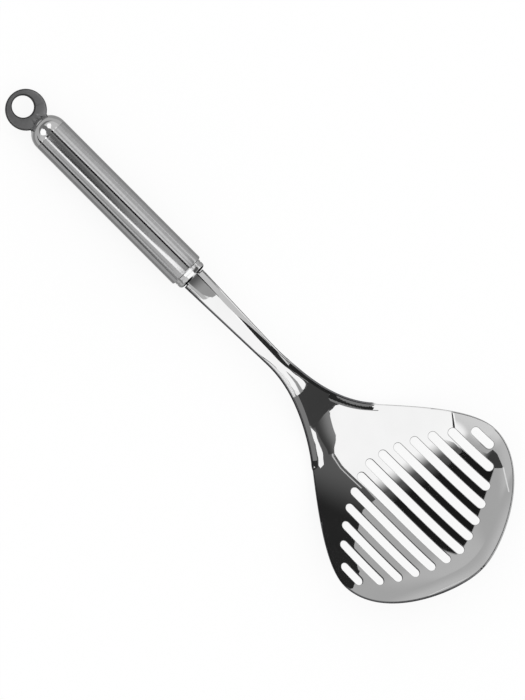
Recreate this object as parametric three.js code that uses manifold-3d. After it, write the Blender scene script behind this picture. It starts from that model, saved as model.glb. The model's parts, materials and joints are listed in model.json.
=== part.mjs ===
import * as THREE from 'three';
import { mergeVertices } from 'three/addons/utils/BufferGeometryUtils.js';
import Module from 'manifold-3d';

// A steel skimmer: a dished, slotted head on a trough-shaped neck, held in a round tubular
// handle that has a stepped ferrule in front and a dome with a flat hanging ring behind.
// Lengths are in millimetres. While the pieces are shaped, +X runs along the handle towards
// the head, X = 0 is the back end of the tube and Z = 0 is the handle's axis. The finished
// group lies at rest on a level surface at Z = 0, dished side up.

// Fits
const FIT_CLEARANCE = 0.3;
const NECK_GAP = 0.6;

// Handle tube
const TUBE_OUTER_DIAMETER = 18;
const TUBE_WALL = 0.8;
const TUBE_LENGTH = 91.5;

// Rear cap
const CAP_END_WALL = 2.2;

// Hanging ring and the pin that holds its tab
const RING_OUTER_DIAMETER = 20;
const RING_HOLE_DIAMETER = 10.6;
const RING_HOLE_OFFSET = 2.1;
const RING_THICKNESS = 2.2;
const RING_CENTRE_BEHIND_DOME = 16.2;
const RING_TAB_WIDTH = 11;
const RING_TAB_DEPTH = 6.5;
const PIN_DIAMETER = 3;
const PIN_FROM_TAB_END = 3.2;
const PIN_END_RECESS = 0.4;

// Front ferrule: a spigot in the tube, and a collar in front of it
const FERRULE_SPIGOT_LENGTH = 8;
const COLLAR_GROOVE_FROM_TUBE = 1.3;
const COLLAR_GROOVE_WIDTH = 0.4;
const COLLAR_GROOVE_DEPTH = 0.3;
const COLLAR_LAND = 1.1;
const COLLAR_EDGE_RADIUS = 1.5;

// Tang and the plug that grips it
const TANG_WIDTH = 8;
const PLUG_FROM_FERRULE = 7;
const PLUG_GRIP = 10;
const PLUG_END_WALL = 3.7;

// Head outline, seen from above
const SHEET_THICKNESS = 1.2;
const NECK_ROOT_WIDTH = 11.4;
const WAIST_WIDTH = 7.7;
const WAIST_FROM_ROOT = 54.2;
const SHOULDER_FROM_ROOT = 104;
const SHOULDER_WIDTH = 41.4;
const SHOULDER_ANGLE = THREE.MathUtils.degToRad(40.8);
const BLADE_LENGTH = 91.7;
const BLADE_WIDTH = 105.6;
const CORNER_FROM_SHOULDER = 50.5;

// How far each end of an outline curve keeps its direction, as a share of that curve's own span
const WAIST_EASE = 0.42;
const SHOULDER_EASE_IN = 0.2;
const SHOULDER_EASE_OUT = 0.33;
const CORNER_EASE_IN = 0.27;
const CORNER_EASE_OUT = 0.6;
const TIP_EASE = 0.3;

// Heights of the head, from the handle's axis
const NECK_EDGE_DROP = 0.3;
const ROOT_TROUGH_DEPTH = 3;
const WAIST_TROUGH_DEPTH = 1.6;
const BEND_FROM_ROOT = 57;
const FLOOR_DROP = 15.9;
const FLOOR_TILT = THREE.MathUtils.degToRad(1.8);
const FLOOR_TURN = 12;
const SHOULDER_EDGE_RISE = 1.35;
const EDGE_TURN = 6;
const CORNER_EDGE_DROP = 3;
const TIP_EDGE_DROP = 0;
const LIP_POWER = 7;
const TROUGH_POWER = 2;
const DISH_POWER = 2.3;

// Slots
const SLOT_WIDTH = 4.2;
const SLOT_PITCH = 7.64;
const SLOT_FIELD_FROM_SHOULDER = 17.4;
const SLOT_FIELD_FROM_TIP = 10.8;
const SLOT_FIELD_FROM_SIDE = 3.2;
const SLOT_FIELD_POWER = 1.43;
const SLOT_FAN = THREE.MathUtils.degToRad(0.25);
const SHORTEST_SLOT = 10;

// Facets
const ROUND_SEGMENTS = 40;
const PIN_SEGMENTS = 20;
const DOME_STEPS = 8;
const EDGE_STEPS = 4;
const RING_STEPS = 32;
const SLOT_END_STEPS = 5;
const SHEET_COLUMNS = 15;
const TANG_ROWS = 2;
const NECK_ROWS = 5;
const FLARE_ROWS = 10;
const SIDE_ROWS = 9;
const FRONT_ROWS = 11;
const FRONT_LAST_STEP = 0.97;
const CUT_MARGIN = 2;

// Sizes that follow from those above
const tubeRadius = TUBE_OUTER_DIAMETER / 2;
const boreRadius = tubeRadius - TUBE_WALL;
const spigotRadius = boreRadius - FIT_CLEARANCE;
const domeCentre = -FIT_CLEARANCE;
const ringCentre = domeCentre - RING_CENTRE_BEHIND_DOME;
const pinCentre = RING_TAB_DEPTH - PIN_FROM_TAB_END;
const capSpigotEnd = RING_TAB_DEPTH + FIT_CLEARANCE + CAP_END_WALL;
const ferruleBack = TUBE_LENGTH - FERRULE_SPIGOT_LENGTH;
const grooveBack = TUBE_LENGTH + COLLAR_GROOVE_FROM_TUBE;
const grooveFront = grooveBack + COLLAR_GROOVE_WIDTH;
const collarEdge = grooveFront + COLLAR_LAND;
const collarFront = collarEdge + COLLAR_EDGE_RADIUS;
const plugFront = ferruleBack - PLUG_FROM_FERRULE;
const tangEnd = plugFront - PLUG_GRIP;
const plugBack = tangEnd - FIT_CLEARANCE - PLUG_END_WALL;
const rootX = collarFront + NECK_GAP;
const waistX = rootX + WAIST_FROM_ROOT;
const bendX = rootX + BEND_FROM_ROOT;
const shoulderX = rootX + SHOULDER_FROM_ROOT;
const cornerX = shoulderX + CORNER_FROM_SHOULDER;
const tipX = shoulderX + BLADE_LENGTH;

const wasm = await Module();
wasm.setup();

const polishedSteel = new THREE.MeshStandardMaterial({ color: 0xd9dbdd, roughness: 0.1, metalness: 1 });
const brushedSteel = new THREE.MeshStandardMaterial({ color: 0xb4b6b8, roughness: 0.4, metalness: 1 });
const satinGreySteel = new THREE.MeshStandardMaterial({ color: 0x6e6e6f, roughness: 0.5, metalness: 1 });
const plainSteel = new THREE.MeshStandardMaterial({ color: 0xa3a5a7, roughness: 0.55, metalness: 1 });

// Joins corners that lie on each other and drops triangles that close up to a line.
function weld(geometry) {
  const bare = geometry.clone();
  bare.deleteAttribute('normal');
  bare.deleteAttribute('uv');
  const merged = mergeVertices(bare);
  const index = merged.getIndex().array;
  const kept = [];
  for (let i = 0; i < index.length; i += 3) {
    const [a, b, c] = index.slice(i, i + 3);
    if (a !== b && b !== c && c !== a) {
      kept.push(a, b, c);
    }
  }
  merged.setIndex(kept);
  return merged;
}

function toSolid(geometry) {
  const merged = weld(geometry);
  const vertProperties = new Float32Array(merged.getAttribute('position').array);
  const triVerts = new Uint32Array(merged.getIndex().array);
  return new wasm.Manifold(new wasm.Mesh({ numProp: 3, vertProperties, triVerts }));
}

function toGeometry(solid) {
  const { vertProperties, triVerts } = solid.getMesh();
  const geometry = new THREE.BufferGeometry();
  geometry.setAttribute('position', new THREE.BufferAttribute(vertProperties, 3));
  geometry.setIndex(new THREE.BufferAttribute(triVerts, 1));
  geometry.computeVertexNormals();
  return geometry;
}

function cut(geometry, cutters) {
  let solid = toSolid(geometry);
  for (const cutter of cutters) {
    solid = solid.subtract(toSolid(cutter));
  }
  return toGeometry(solid);
}

// Turns a profile of [x, radius] points about the handle's axis.
function turned(profile) {
  const points = profile.map(([x, radius]) => new THREE.Vector2(radius, x));
  return new THREE.LatheGeometry(points, ROUND_SEGMENTS).rotateZ(-Math.PI / 2);
}

// Points of an arc as [x, radius] pairs, both ends included.
function arcProfile(x, radius, size, from, to, steps) {
  const curve = new THREE.EllipseCurve(x, radius, size, size, from, to, to < from);
  return curve.getPoints(steps).map((point) => [point.x, Math.max(point.y, 0)]);
}

function boxBetween(low, high) {
  const size = new THREE.Vector3().subVectors(high, low);
  const centre = new THREE.Vector3().addVectors(low, high).multiplyScalar(0.5);
  return new THREE.BoxGeometry(size.x, size.y, size.z).translate(centre.x, centre.y, centre.z);
}

function uprightCylinder(x, radius, length) {
  return new THREE.CylinderGeometry(radius, radius, length, PIN_SEGMENTS)
    .rotateX(Math.PI / 2)
    .translate(x, 0, 0);
}

// The tang keeps the trough of the neck's root, so its passage is as high as the trough is there.
function tangPassage(fromX, toX) {
  const halfWidth = TANG_WIDTH / 2 + FIT_CLEARANCE;
  const floorZ = -NECK_EDGE_DROP - ROOT_TROUGH_DEPTH;
  const rise = ROOT_TROUGH_DEPTH * (TANG_WIDTH / NECK_ROOT_WIDTH) ** TROUGH_POWER;
  const low = new THREE.Vector3(fromX, -halfWidth, floorZ - SHEET_THICKNESS - FIT_CLEARANCE);
  const high = new THREE.Vector3(toX, halfWidth, floorZ + rise + FIT_CLEARANCE);
  return boxBetween(low, high);
}

function handleTube() {
  return turned([
    [0, tubeRadius],
    [TUBE_LENGTH, tubeRadius],
    [TUBE_LENGTH, boreRadius],
    [0, boreRadius],
    [0, tubeRadius],
  ]);
}

function rearCap() {
  const body = turned([
    ...arcProfile(domeCentre, 0, tubeRadius, Math.PI, Math.PI / 2, DOME_STEPS),
    [domeCentre, spigotRadius],
    [capSpigotEnd, spigotRadius],
    [capSpigotEnd, 0],
  ]);
  const halfWidth = RING_TAB_WIDTH / 2 + FIT_CLEARANCE;
  const halfHeight = RING_THICKNESS / 2 + FIT_CLEARANCE;
  const slot = boxBetween(
    new THREE.Vector3(domeCentre - tubeRadius - CUT_MARGIN, -halfWidth, -halfHeight),
    new THREE.Vector3(RING_TAB_DEPTH + FIT_CLEARANCE, halfWidth, halfHeight),
  );
  const pinHole = uprightCylinder(pinCentre, PIN_DIAMETER / 2 + FIT_CLEARANCE, TUBE_OUTER_DIAMETER);
  return cut(body, [slot, pinHole]);
}

function hangingRing() {
  const radius = RING_OUTER_DIAMETER / 2;
  const halfTab = RING_TAB_WIDTH / 2;
  const rootAngle = Math.asin(halfTab / radius);
  const outline = new THREE.Shape();
  outline.moveTo(RING_TAB_DEPTH, -halfTab);
  outline.lineTo(RING_TAB_DEPTH, halfTab);
  outline.absarc(ringCentre, 0, radius, rootAngle, 2 * Math.PI - rootAngle, false);
  outline.closePath();
  const hole = new THREE.Path();
  hole.absarc(ringCentre - RING_HOLE_OFFSET, 0, RING_HOLE_DIAMETER / 2, 0, 2 * Math.PI, false);
  const pinHole = new THREE.Path();
  pinHole.absarc(pinCentre, 0, PIN_DIAMETER / 2 + FIT_CLEARANCE, 0, 2 * Math.PI, false);
  outline.holes.push(hole, pinHole);
  const options = { depth: RING_THICKNESS, bevelEnabled: false, curveSegments: RING_STEPS };
  return new THREE.ExtrudeGeometry(outline, options).translate(0, 0, -RING_THICKNESS / 2);
}

function ringPin() {
  return uprightCylinder(pinCentre, PIN_DIAMETER / 2, 2 * (spigotRadius - PIN_END_RECESS));
}

function frontFerrule() {
  const edgeRadius = spigotRadius - COLLAR_EDGE_RADIUS;
  const body = turned([
    [ferruleBack, 0],
    [ferruleBack, spigotRadius],
    [grooveBack, spigotRadius],
    [grooveBack, spigotRadius - COLLAR_GROOVE_DEPTH],
    [grooveFront, spigotRadius - COLLAR_GROOVE_DEPTH],
    [grooveFront, spigotRadius],
    ...arcProfile(collarEdge, edgeRadius, COLLAR_EDGE_RADIUS, Math.PI / 2, 0, EDGE_STEPS),
    [collarFront, 0],
  ]);
  return cut(body, [tangPassage(ferruleBack - CUT_MARGIN, collarFront + CUT_MARGIN)]);
}

function tangPlug() {
  const body = turned([
    [plugBack, 0],
    [plugBack, spigotRadius],
    [plugFront, spigotRadius],
    [plugFront, 0],
  ]);
  return cut(body, [tangPassage(tangEnd - FIT_CLEARANCE, plugFront + CUT_MARGIN)]);
}

// Half the head's outline, from the tang's end to the tip, as rows of x and half width.
function outlineRows() {
  const shoulder = new THREE.Vector2(shoulderX, SHOULDER_WIDTH / 2);
  const along = new THREE.Vector2(1, Math.tan(SHOULDER_ANGLE));
  const root = new THREE.Vector2(rootX, NECK_ROOT_WIDTH / 2);
  const waist = new THREE.Vector2(waistX, WAIST_WIDTH / 2);
  const corner = new THREE.Vector2(cornerX, BLADE_WIDTH / 2);
  const flareSpan = shoulderX - waistX;
  const frontSpan = tipX - cornerX;
  const neck = new THREE.LineCurve(root, waist);
  const flare = new THREE.CubicBezierCurve(
    waist,
    new THREE.Vector2(waistX + WAIST_EASE * flareSpan, waist.y),
    shoulder.clone().addScaledVector(along, -SHOULDER_EASE_IN * flareSpan),
    shoulder,
  );
  const side = new THREE.CubicBezierCurve(
    shoulder,
    shoulder.clone().addScaledVector(along, SHOULDER_EASE_OUT * CORNER_FROM_SHOULDER),
    new THREE.Vector2(cornerX - CORNER_EASE_IN * CORNER_FROM_SHOULDER, corner.y),
    corner,
  );
  const front = new THREE.CubicBezierCurve(
    corner,
    new THREE.Vector2(cornerX + CORNER_EASE_OUT * frontSpan, corner.y),
    new THREE.Vector2(tipX, TIP_EASE * corner.y),
    new THREE.Vector2(tipX, 0),
  );
  const rows = [];
  for (let i = 0; i < TANG_ROWS; i += 1) {
    rows.push(new THREE.Vector2(THREE.MathUtils.lerp(tangEnd, rootX, i / TANG_ROWS), root.y));
  }
  const stretches = [[neck, NECK_ROWS], [flare, FLARE_ROWS], [side, SIDE_ROWS]];
  for (const [curve, count] of stretches) {
    for (let i = 0; i < count; i += 1) {
      rows.push(curve.getPoint(i / count));
    }
  }
  for (let i = 0; i <= FRONT_ROWS; i += 1) {
    rows.push(front.getPoint((FRONT_LAST_STEP * i) / FRONT_ROWS));
  }
  return rows;
}

// Follows 0 and then the value itself, with a turn of the given width between them.
function softRise(value, width) {
  return (value + Math.hypot(value, width)) / 2;
}

// Height of the sheet along its middle.
function middleHeight(x) {
  const toWaist = THREE.MathUtils.clamp((x - rootX) / WAIST_FROM_ROOT, 0, 1);
  const trough = THREE.MathUtils.lerp(ROOT_TROUGH_DEPTH, WAIST_TROUGH_DEPTH, toWaist);
  const neckZ = -NECK_EDGE_DROP - trough;
  const bend = THREE.MathUtils.smoothstep(x, bendX, shoulderX);
  const alongBlade = Math.max(x - shoulderX, 0);
  const tilt = Math.tan(FLOOR_TILT);
  const lipRise = FLOOR_DROP - TIP_EDGE_DROP - tilt * BLADE_LENGTH;
  const lip = lipRise * (alongBlade / BLADE_LENGTH) ** LIP_POWER;
  const floorRise = tilt * softRise(x - shoulderX, FLOOR_TURN);
  return THREE.MathUtils.lerp(neckZ, -FLOOR_DROP, bend) + floorRise + lip;
}

// Height of the sheet along its edge.
function edgeHeight(x) {
  const shoulderZ = SHOULDER_EDGE_RISE - FLOOR_DROP;
  const bend = THREE.MathUtils.smoothstep(x, bendX, shoulderX);
  const neckZ = THREE.MathUtils.lerp(-NECK_EDGE_DROP, shoulderZ, bend);
  const climbed = softRise(x - shoulderX, EDGE_TURN) / softRise(CORNER_FROM_SHOULDER, EDGE_TURN);
  const climb = Math.sin((Math.PI / 2) * Math.min(climbed, 1));
  const toTip = THREE.MathUtils.clamp((x - cornerX) / (tipX - cornerX), 0, 1);
  const sideRise = (-CORNER_EDGE_DROP - shoulderZ) * climb;
  return neckZ + sideRise + (CORNER_EDGE_DROP - TIP_EDGE_DROP) * toTip;
}

// The head's sheet: its upper side is shaped row by row, and its lower side lies one sheet
// thickness under it, square to the surface.
function sheet() {
  const rows = outlineRows();
  const perRow = SHEET_COLUMNS + 1;
  const upper = [];
  for (const row of rows) {
    const middle = middleHeight(row.x);
    const rise = edgeHeight(row.x) - middle;
    const dished = THREE.MathUtils.smoothstep(row.x, bendX, cornerX);
    const power = THREE.MathUtils.lerp(TROUGH_POWER, DISH_POWER, dished);
    for (let j = 0; j <= SHEET_COLUMNS; j += 1) {
      const across = Math.sin((Math.PI / 2) * ((2 * j) / SHEET_COLUMNS - 1));
      upper.push(row.x, across * row.y, middle + rise * Math.abs(across) ** power);
    }
  }
  const faces = [];
  const quad = (a, b, c, d) => faces.push(a, b, c, a, c, d);
  for (let i = 0; i < rows.length - 1; i += 1) {
    for (let j = 0; j < SHEET_COLUMNS; j += 1) {
      const corner = i * perRow + j;
      quad(corner, corner + perRow, corner + perRow + 1, corner + 1);
    }
  }
  const geometry = new THREE.BufferGeometry();
  geometry.setAttribute('position', new THREE.Float32BufferAttribute(upper, 3));
  geometry.setIndex(faces);
  geometry.computeVertexNormals();
  const normals = geometry.getAttribute('normal').array;
  const lower = upper.map((value, i) => value - SHEET_THICKNESS * normals[i]);

  const under = rows.length * perRow;
  for (const [a, b, c] of trianglesOf(faces)) {
    faces.push(a + under, c + under, b + under);
  }
  const wall = (a, b) => quad(a, a + under, b + under, b);
  const lastRow = (rows.length - 1) * perRow;
  for (let i = 0; i < rows.length - 1; i += 1) {
    wall((i + 1) * perRow - perRow, (i + 1) * perRow);
    wall((i + 1) * perRow + SHEET_COLUMNS, i * perRow + SHEET_COLUMNS);
  }
  for (let j = 0; j < SHEET_COLUMNS; j += 1) {
    wall(j + 1, j);
    wall(lastRow + j, lastRow + j + 1);
  }
  const closed = new THREE.BufferGeometry();
  closed.setAttribute('position', new THREE.Float32BufferAttribute([...upper, ...lower], 3));
  closed.setIndex(faces);
  return closed;
}

function trianglesOf(index) {
  const triangles = [];
  for (let i = 0; i < index.length; i += 3) {
    triangles.push(index.slice(i, i + 3));
  }
  return triangles;
}

// Round-ended slots along the handle's direction. Their ends lie on a rounded diamond whose
// tips keep fixed distances from the shoulder, the tip and the sides, and they fan out a little.
function slotCutters() {
  const fieldHalfLength = (BLADE_LENGTH - SLOT_FIELD_FROM_SHOULDER - SLOT_FIELD_FROM_TIP) / 2;
  const fieldHalfWidth = BLADE_WIDTH / 2 - SLOT_FIELD_FROM_SIDE;
  const fieldX = shoulderX + SLOT_FIELD_FROM_SHOULDER + fieldHalfLength;
  const cutLow = -FLOOR_DROP - SHEET_THICKNESS - CUT_MARGIN;
  const depth = CUT_MARGIN - cutLow;
  const radius = SLOT_WIDTH / 2;
  const most = Math.floor(fieldHalfWidth / SLOT_PITCH);
  const cutters = [];
  for (let i = -most; i <= most; i += 1) {
    const y = i * SLOT_PITCH;
    const left = 1 - (Math.abs(y) / fieldHalfWidth) ** SLOT_FIELD_POWER;
    const halfLength = fieldHalfLength * left ** (1 / SLOT_FIELD_POWER);
    if (2 * halfLength < SHORTEST_SLOT) {
      continue;
    }
    const slot = new THREE.Shape();
    slot.absarc(halfLength - radius, 0, radius, -Math.PI / 2, Math.PI / 2, false);
    slot.absarc(radius - halfLength, 0, radius, Math.PI / 2, (3 * Math.PI) / 2, false);
    slot.closePath();
    const options = { depth, bevelEnabled: false, curveSegments: SLOT_END_STEPS };
    cutters.push(new THREE.ExtrudeGeometry(slot, options).rotateZ(i * SLOT_FAN).translate(fieldX, y, cutLow));
  }
  return cutters;
}

// The tang is the neck's own strip, narrowed by a notch on each side.
function tangNotches() {
  const outer = NECK_ROOT_WIDTH / 2 + CUT_MARGIN;
  const inner = TANG_WIDTH / 2;
  const height = ROOT_TROUGH_DEPTH + NECK_EDGE_DROP + SHEET_THICKNESS + CUT_MARGIN;
  return [[-outer, -inner], [inner, outer]].map(([low, high]) => boxBetween(
    new THREE.Vector3(tangEnd - CUT_MARGIN, low, -height),
    new THREE.Vector3(rootX, high, height),
  ));
}

function slottedHead() {
  return cut(sheet(), [...tangNotches(), ...slotCutters()]);
}

// Tilt at which the dome's underside and the head's underside touch one level surface.
function restTilt(headGeometry) {
  const position = headGeometry.getAttribute('position');
  let tilt = Infinity;
  for (let i = 0; i < position.count; i += 1) {
    tilt = Math.min(tilt, Math.atan2(position.getZ(i) + tubeRadius, position.getX(i) - domeCentre));
  }
  return tilt;
}

function named(name, geometry, material) {
  const mesh = new THREE.Mesh(weld(geometry), material);
  mesh.name = name;
  return mesh;
}

const headGeometry = slottedHead();
const skimmer = new THREE.Group();
skimmer.add(
  named('slotted_head', headGeometry, polishedSteel),
  named('front_ferrule', frontFerrule(), polishedSteel),
  named('tang_plug', tangPlug(), plainSteel),
  named('handle_tube', handleTube(), brushedSteel),
  named('rear_cap', rearCap(), polishedSteel),
  named('hanging_ring', hangingRing(), satinGreySteel),
  named('ring_pin', ringPin(), plainSteel),
);

// The origin is under the middle of the part's box, on the surface that it lies on.
skimmer.rotation.y = restTilt(headGeometry);
const box = new THREE.Box3().setFromObject(skimmer, true);
const middle = box.getCenter(new THREE.Vector3());
skimmer.position.set(-middle.x, -middle.y, -box.min.z);

export default skimmer;
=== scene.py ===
"""A steel skimmer, dressed: mirror polished head, brushed handle, domed end and hanging ring.

Lengths in the classes are millimetres in the handle's own frame. X runs along the handle
towards the blade, X = 0 is the back end of the tube, and Z = 0 is the handle's axis.
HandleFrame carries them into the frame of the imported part, in metres.
"""

import json
import logging
import math
from dataclasses import dataclass
from enum import Enum

import bpy
import numpy as np
from mathutils import Matrix, Vector
from mathutils.geometry import delaunay_2d_cdt

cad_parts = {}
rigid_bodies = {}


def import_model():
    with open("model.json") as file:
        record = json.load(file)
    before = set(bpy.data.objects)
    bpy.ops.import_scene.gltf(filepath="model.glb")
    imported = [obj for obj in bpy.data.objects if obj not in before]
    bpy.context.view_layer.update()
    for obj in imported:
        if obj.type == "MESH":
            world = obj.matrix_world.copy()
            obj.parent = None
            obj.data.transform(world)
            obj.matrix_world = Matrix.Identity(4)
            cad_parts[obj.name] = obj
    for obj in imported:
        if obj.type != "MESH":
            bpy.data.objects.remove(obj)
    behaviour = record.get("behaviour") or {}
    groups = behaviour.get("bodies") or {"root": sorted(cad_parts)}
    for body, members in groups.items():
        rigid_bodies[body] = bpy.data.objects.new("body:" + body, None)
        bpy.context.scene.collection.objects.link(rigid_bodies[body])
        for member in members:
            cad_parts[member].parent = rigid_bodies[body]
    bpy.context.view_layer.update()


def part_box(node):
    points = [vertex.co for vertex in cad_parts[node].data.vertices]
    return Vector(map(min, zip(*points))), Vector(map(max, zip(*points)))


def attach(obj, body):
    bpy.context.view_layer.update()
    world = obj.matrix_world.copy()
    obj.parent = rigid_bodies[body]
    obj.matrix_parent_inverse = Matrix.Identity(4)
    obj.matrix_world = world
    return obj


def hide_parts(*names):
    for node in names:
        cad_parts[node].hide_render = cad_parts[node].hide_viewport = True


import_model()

LOG = logging.getLogger("skimmer")

Pair = tuple[float, float]
Triple = tuple[float, float, float]
Corners = tuple[Triple, ...]
Piece = bpy.types.Object
Socket = bpy.types.NodeSocket

MM = 0.001  # one millimetre in metres
FIT = 0.3  # play between two pieces, one in the other
BODY = "root"
CLOUD = (0.3, 0.7)  # the range that most of a noise pattern lies in


class Node(str, Enum):
    """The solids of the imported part."""

    HEAD = "slotted_head"
    FERRULE = "front_ferrule"
    PLUG = "tang_plug"
    TUBE = "handle_tube"
    CAP = "rear_cap"
    RING = "hanging_ring"
    PIN = "ring_pin"


class Slot(str, Enum):
    """The material slots of the pieces that are made here."""

    SHEET = "polished_sheet"
    FITTING = "polished_fitting"
    TUBE = "brushed_tube"
    RING = "satin_ring"


def ramp(value: np.ndarray, low: float, high: float) -> np.ndarray:
    """Eases from 0 at low to 1 at high."""
    share = np.clip((value - low) / (high - low), 0.0, 1.0)
    return share * share * (3.0 - 2.0 * share)


def lift(value: np.ndarray, width: float) -> np.ndarray:
    """Follows 0 and then the value itself, with a soft turn of some width between them."""
    return (value + np.sqrt(value * value + width * width)) / 2.0


def unit(rows: np.ndarray) -> np.ndarray:
    """Brings each row to a length of 1."""
    return rows / np.linalg.norm(rows, axis=1, keepdims=True)


def bezier(points: list[Pair], steps: int) -> np.ndarray:
    """Samples a cubic curve.

    Args:
        points: The curve's two ends with its two handles between them.
        steps: How many equal steps the curve is cut into.

    Returns:
        An array of steps + 1 points.
    """
    start, leave, arrive, end = (np.array(point, float) for point in points)
    share = np.linspace(0.0, 1.0, steps + 1)[:, None]
    rest = 1.0 - share
    near = rest**3 * start + 3.0 * rest**2 * share * leave
    far = 3.0 * rest * share**2 * arrive + share**3 * end
    return near + far


def arc(centre: Pair, size: float, start: float, end: float, steps: int) -> list[Pair]:
    """Lays points on an arc of a turned profile, between two angles in degrees."""
    angles = [math.radians(start + (end - start) * i / steps) for i in range(steps + 1)]
    return [(centre[0] + size * math.cos(a), max(centre[1] + size * math.sin(a), 0.0)) for a in angles]


@dataclass(frozen=True)
class HandleFrame:
    """Carries millimetres in the handle's frame into the part's frame in metres."""

    matrix: Matrix  # the whole change of frame

    @classmethod
    def from_nodes(cls, tube_length: float) -> "HandleFrame":
        """Reads the handle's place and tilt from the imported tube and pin.

        Args:
            tube_length: Length of the tube in millimetres.

        Returns:
            The frame of the handle's axis.
        """
        tube_middle = sum(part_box(Node.TUBE.value), Vector()) / 2.0
        pin_middle = sum(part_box(Node.PIN.value), Vector()) / 2.0
        along = tube_middle - pin_middle
        turn = Matrix.Rotation(-math.atan2(along.z, along.x), 4, "Y")
        centred = Matrix.Translation((-tube_length / 2.0, 0.0, 0.0))
        return cls(Matrix.Translation(tube_middle) @ turn @ Matrix.Scale(MM, 4) @ centred)

    def points(self, places: np.ndarray) -> np.ndarray:
        """Carries places, one a row, into the part's frame."""
        matrix = np.array(self.matrix)
        return places @ matrix[:3, :3].T + matrix[:3, 3]

    def directions(self, vectors: np.ndarray) -> np.ndarray:
        """Turns unit vectors, one a row, into the part's frame."""
        return vectors @ np.array(self.matrix)[:3, :3].T / MM

    def point(self, place: Triple) -> Vector:
        """Carries one place into the part's frame."""
        return self.matrix @ Vector(place)

    def direction(self, vector: Vector) -> Vector:
        """Turns one direction into the part's frame."""
        return (self.matrix.to_3x3() @ vector).normalized()


class NodeSheet:
    """The nodes of a new material or world, laid by short calls."""

    def __init__(self, owner: bpy.types.ID) -> None:
        """Takes a new material or world and clears its nodes.

        Args:
            owner: The material or world.
        """
        owner.use_nodes = True
        self.owner = owner
        self.tree = owner.node_tree
        self.tree.nodes.clear()

    def add(self, kind: str, links: dict | None = None, **settings: object) -> bpy.types.Node:
        """Adds a node, sets it up and links its inputs.

        Args:
            kind: The node's type, without its prefix.
            links: For each input, by name or number, a socket to link or a value to set.
            **settings: Attributes of the node.

        Returns:
            The new node.
        """
        node = self.tree.nodes.new("ShaderNode" + kind)
        for key, value in settings.items():
            setattr(node, key, value)
        for key, value in (links or {}).items():
            if isinstance(value, Socket):
                self.tree.links.new(value, node.inputs[key])
            else:
                node.inputs[key].default_value = value
        return node

    def math(self, operation: str, first: object, second: object = 0.0) -> Socket:
        """Adds a Math node on sockets or numbers."""
        return self.add("Math", {0: first, 1: second}, operation=operation).outputs[0]

    def dot(self, first: Socket, second: Vector) -> Socket:
        """Measures one vector along another."""
        return self.add("VectorMath", {0: first, 1: second}, operation="DOT_PRODUCT").outputs["Value"]

    def spread(self, value: Socket, span: Pair, low: float, high: float) -> Socket:
        """Maps a value smoothly from a span onto the range from low to high."""
        ranges = {0: value, 1: span[0], 2: span[1], 3: low, 4: high}
        return self.add("MapRange", ranges, interpolation_type="SMOOTHSTEP").outputs[0]

    def noise(self, vector: Socket, scale: float = 1.0, detail: float = 2.0) -> Socket:
        """Adds a noise pattern from 0 to 1, with some octaves of detail."""
        return self.add("TexNoise", {"Vector": vector, "Scale": scale, "Detail": detail}).outputs[0]

    def stretch(self, vector: Socket, scale: Triple) -> Socket:
        """Stretches coordinates."""
        return self.add("Mapping", {"Vector": vector, "Scale": scale}).outputs[0]

    def bump(self, height: Socket, strength: float, distance: float, **under: Socket) -> Socket:
        """Adds a bump, on top of an earlier one if its Normal is given."""
        links = {"Height": height, "Strength": strength, "Distance": distance, **under}
        return self.add("Bump", links).outputs[0]

    def two_tone(self, share: Socket, low: object, high: object) -> Socket:
        """Blends two colours, each a socket or three numbers."""
        ends = [(*end, 1.0) if isinstance(end, tuple) else end for end in (low, high)]
        return self.add("Mix", {0: share, 6: ends[0], 7: ends[1]}, data_type="RGBA").outputs[2]

    def fade(self, share: Socket, low: object, high: object) -> Socket:
        """Blends two brightnesses, each a socket or a number."""
        return self.add("Mix", {0: share, 2: low, 3: high}, data_type="FLOAT").outputs[0]

    def finish(self, kind: str, surface: Socket) -> bpy.types.ID:
        """Links the surface to the output and hands over the material or world."""
        self.add("Output" + kind, {"Surface": surface})
        return self.owner

    def metal(self, color: Socket, **inputs: object) -> bpy.types.Material:
        """Ends a metal of some colour, with the shader's other inputs by their names."""
        sockets = {"Base Color": color, "Metallic": 1.0, **inputs}
        return self.finish("Material", self.add("BsdfPrincipled", sockets).outputs[0])


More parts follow.
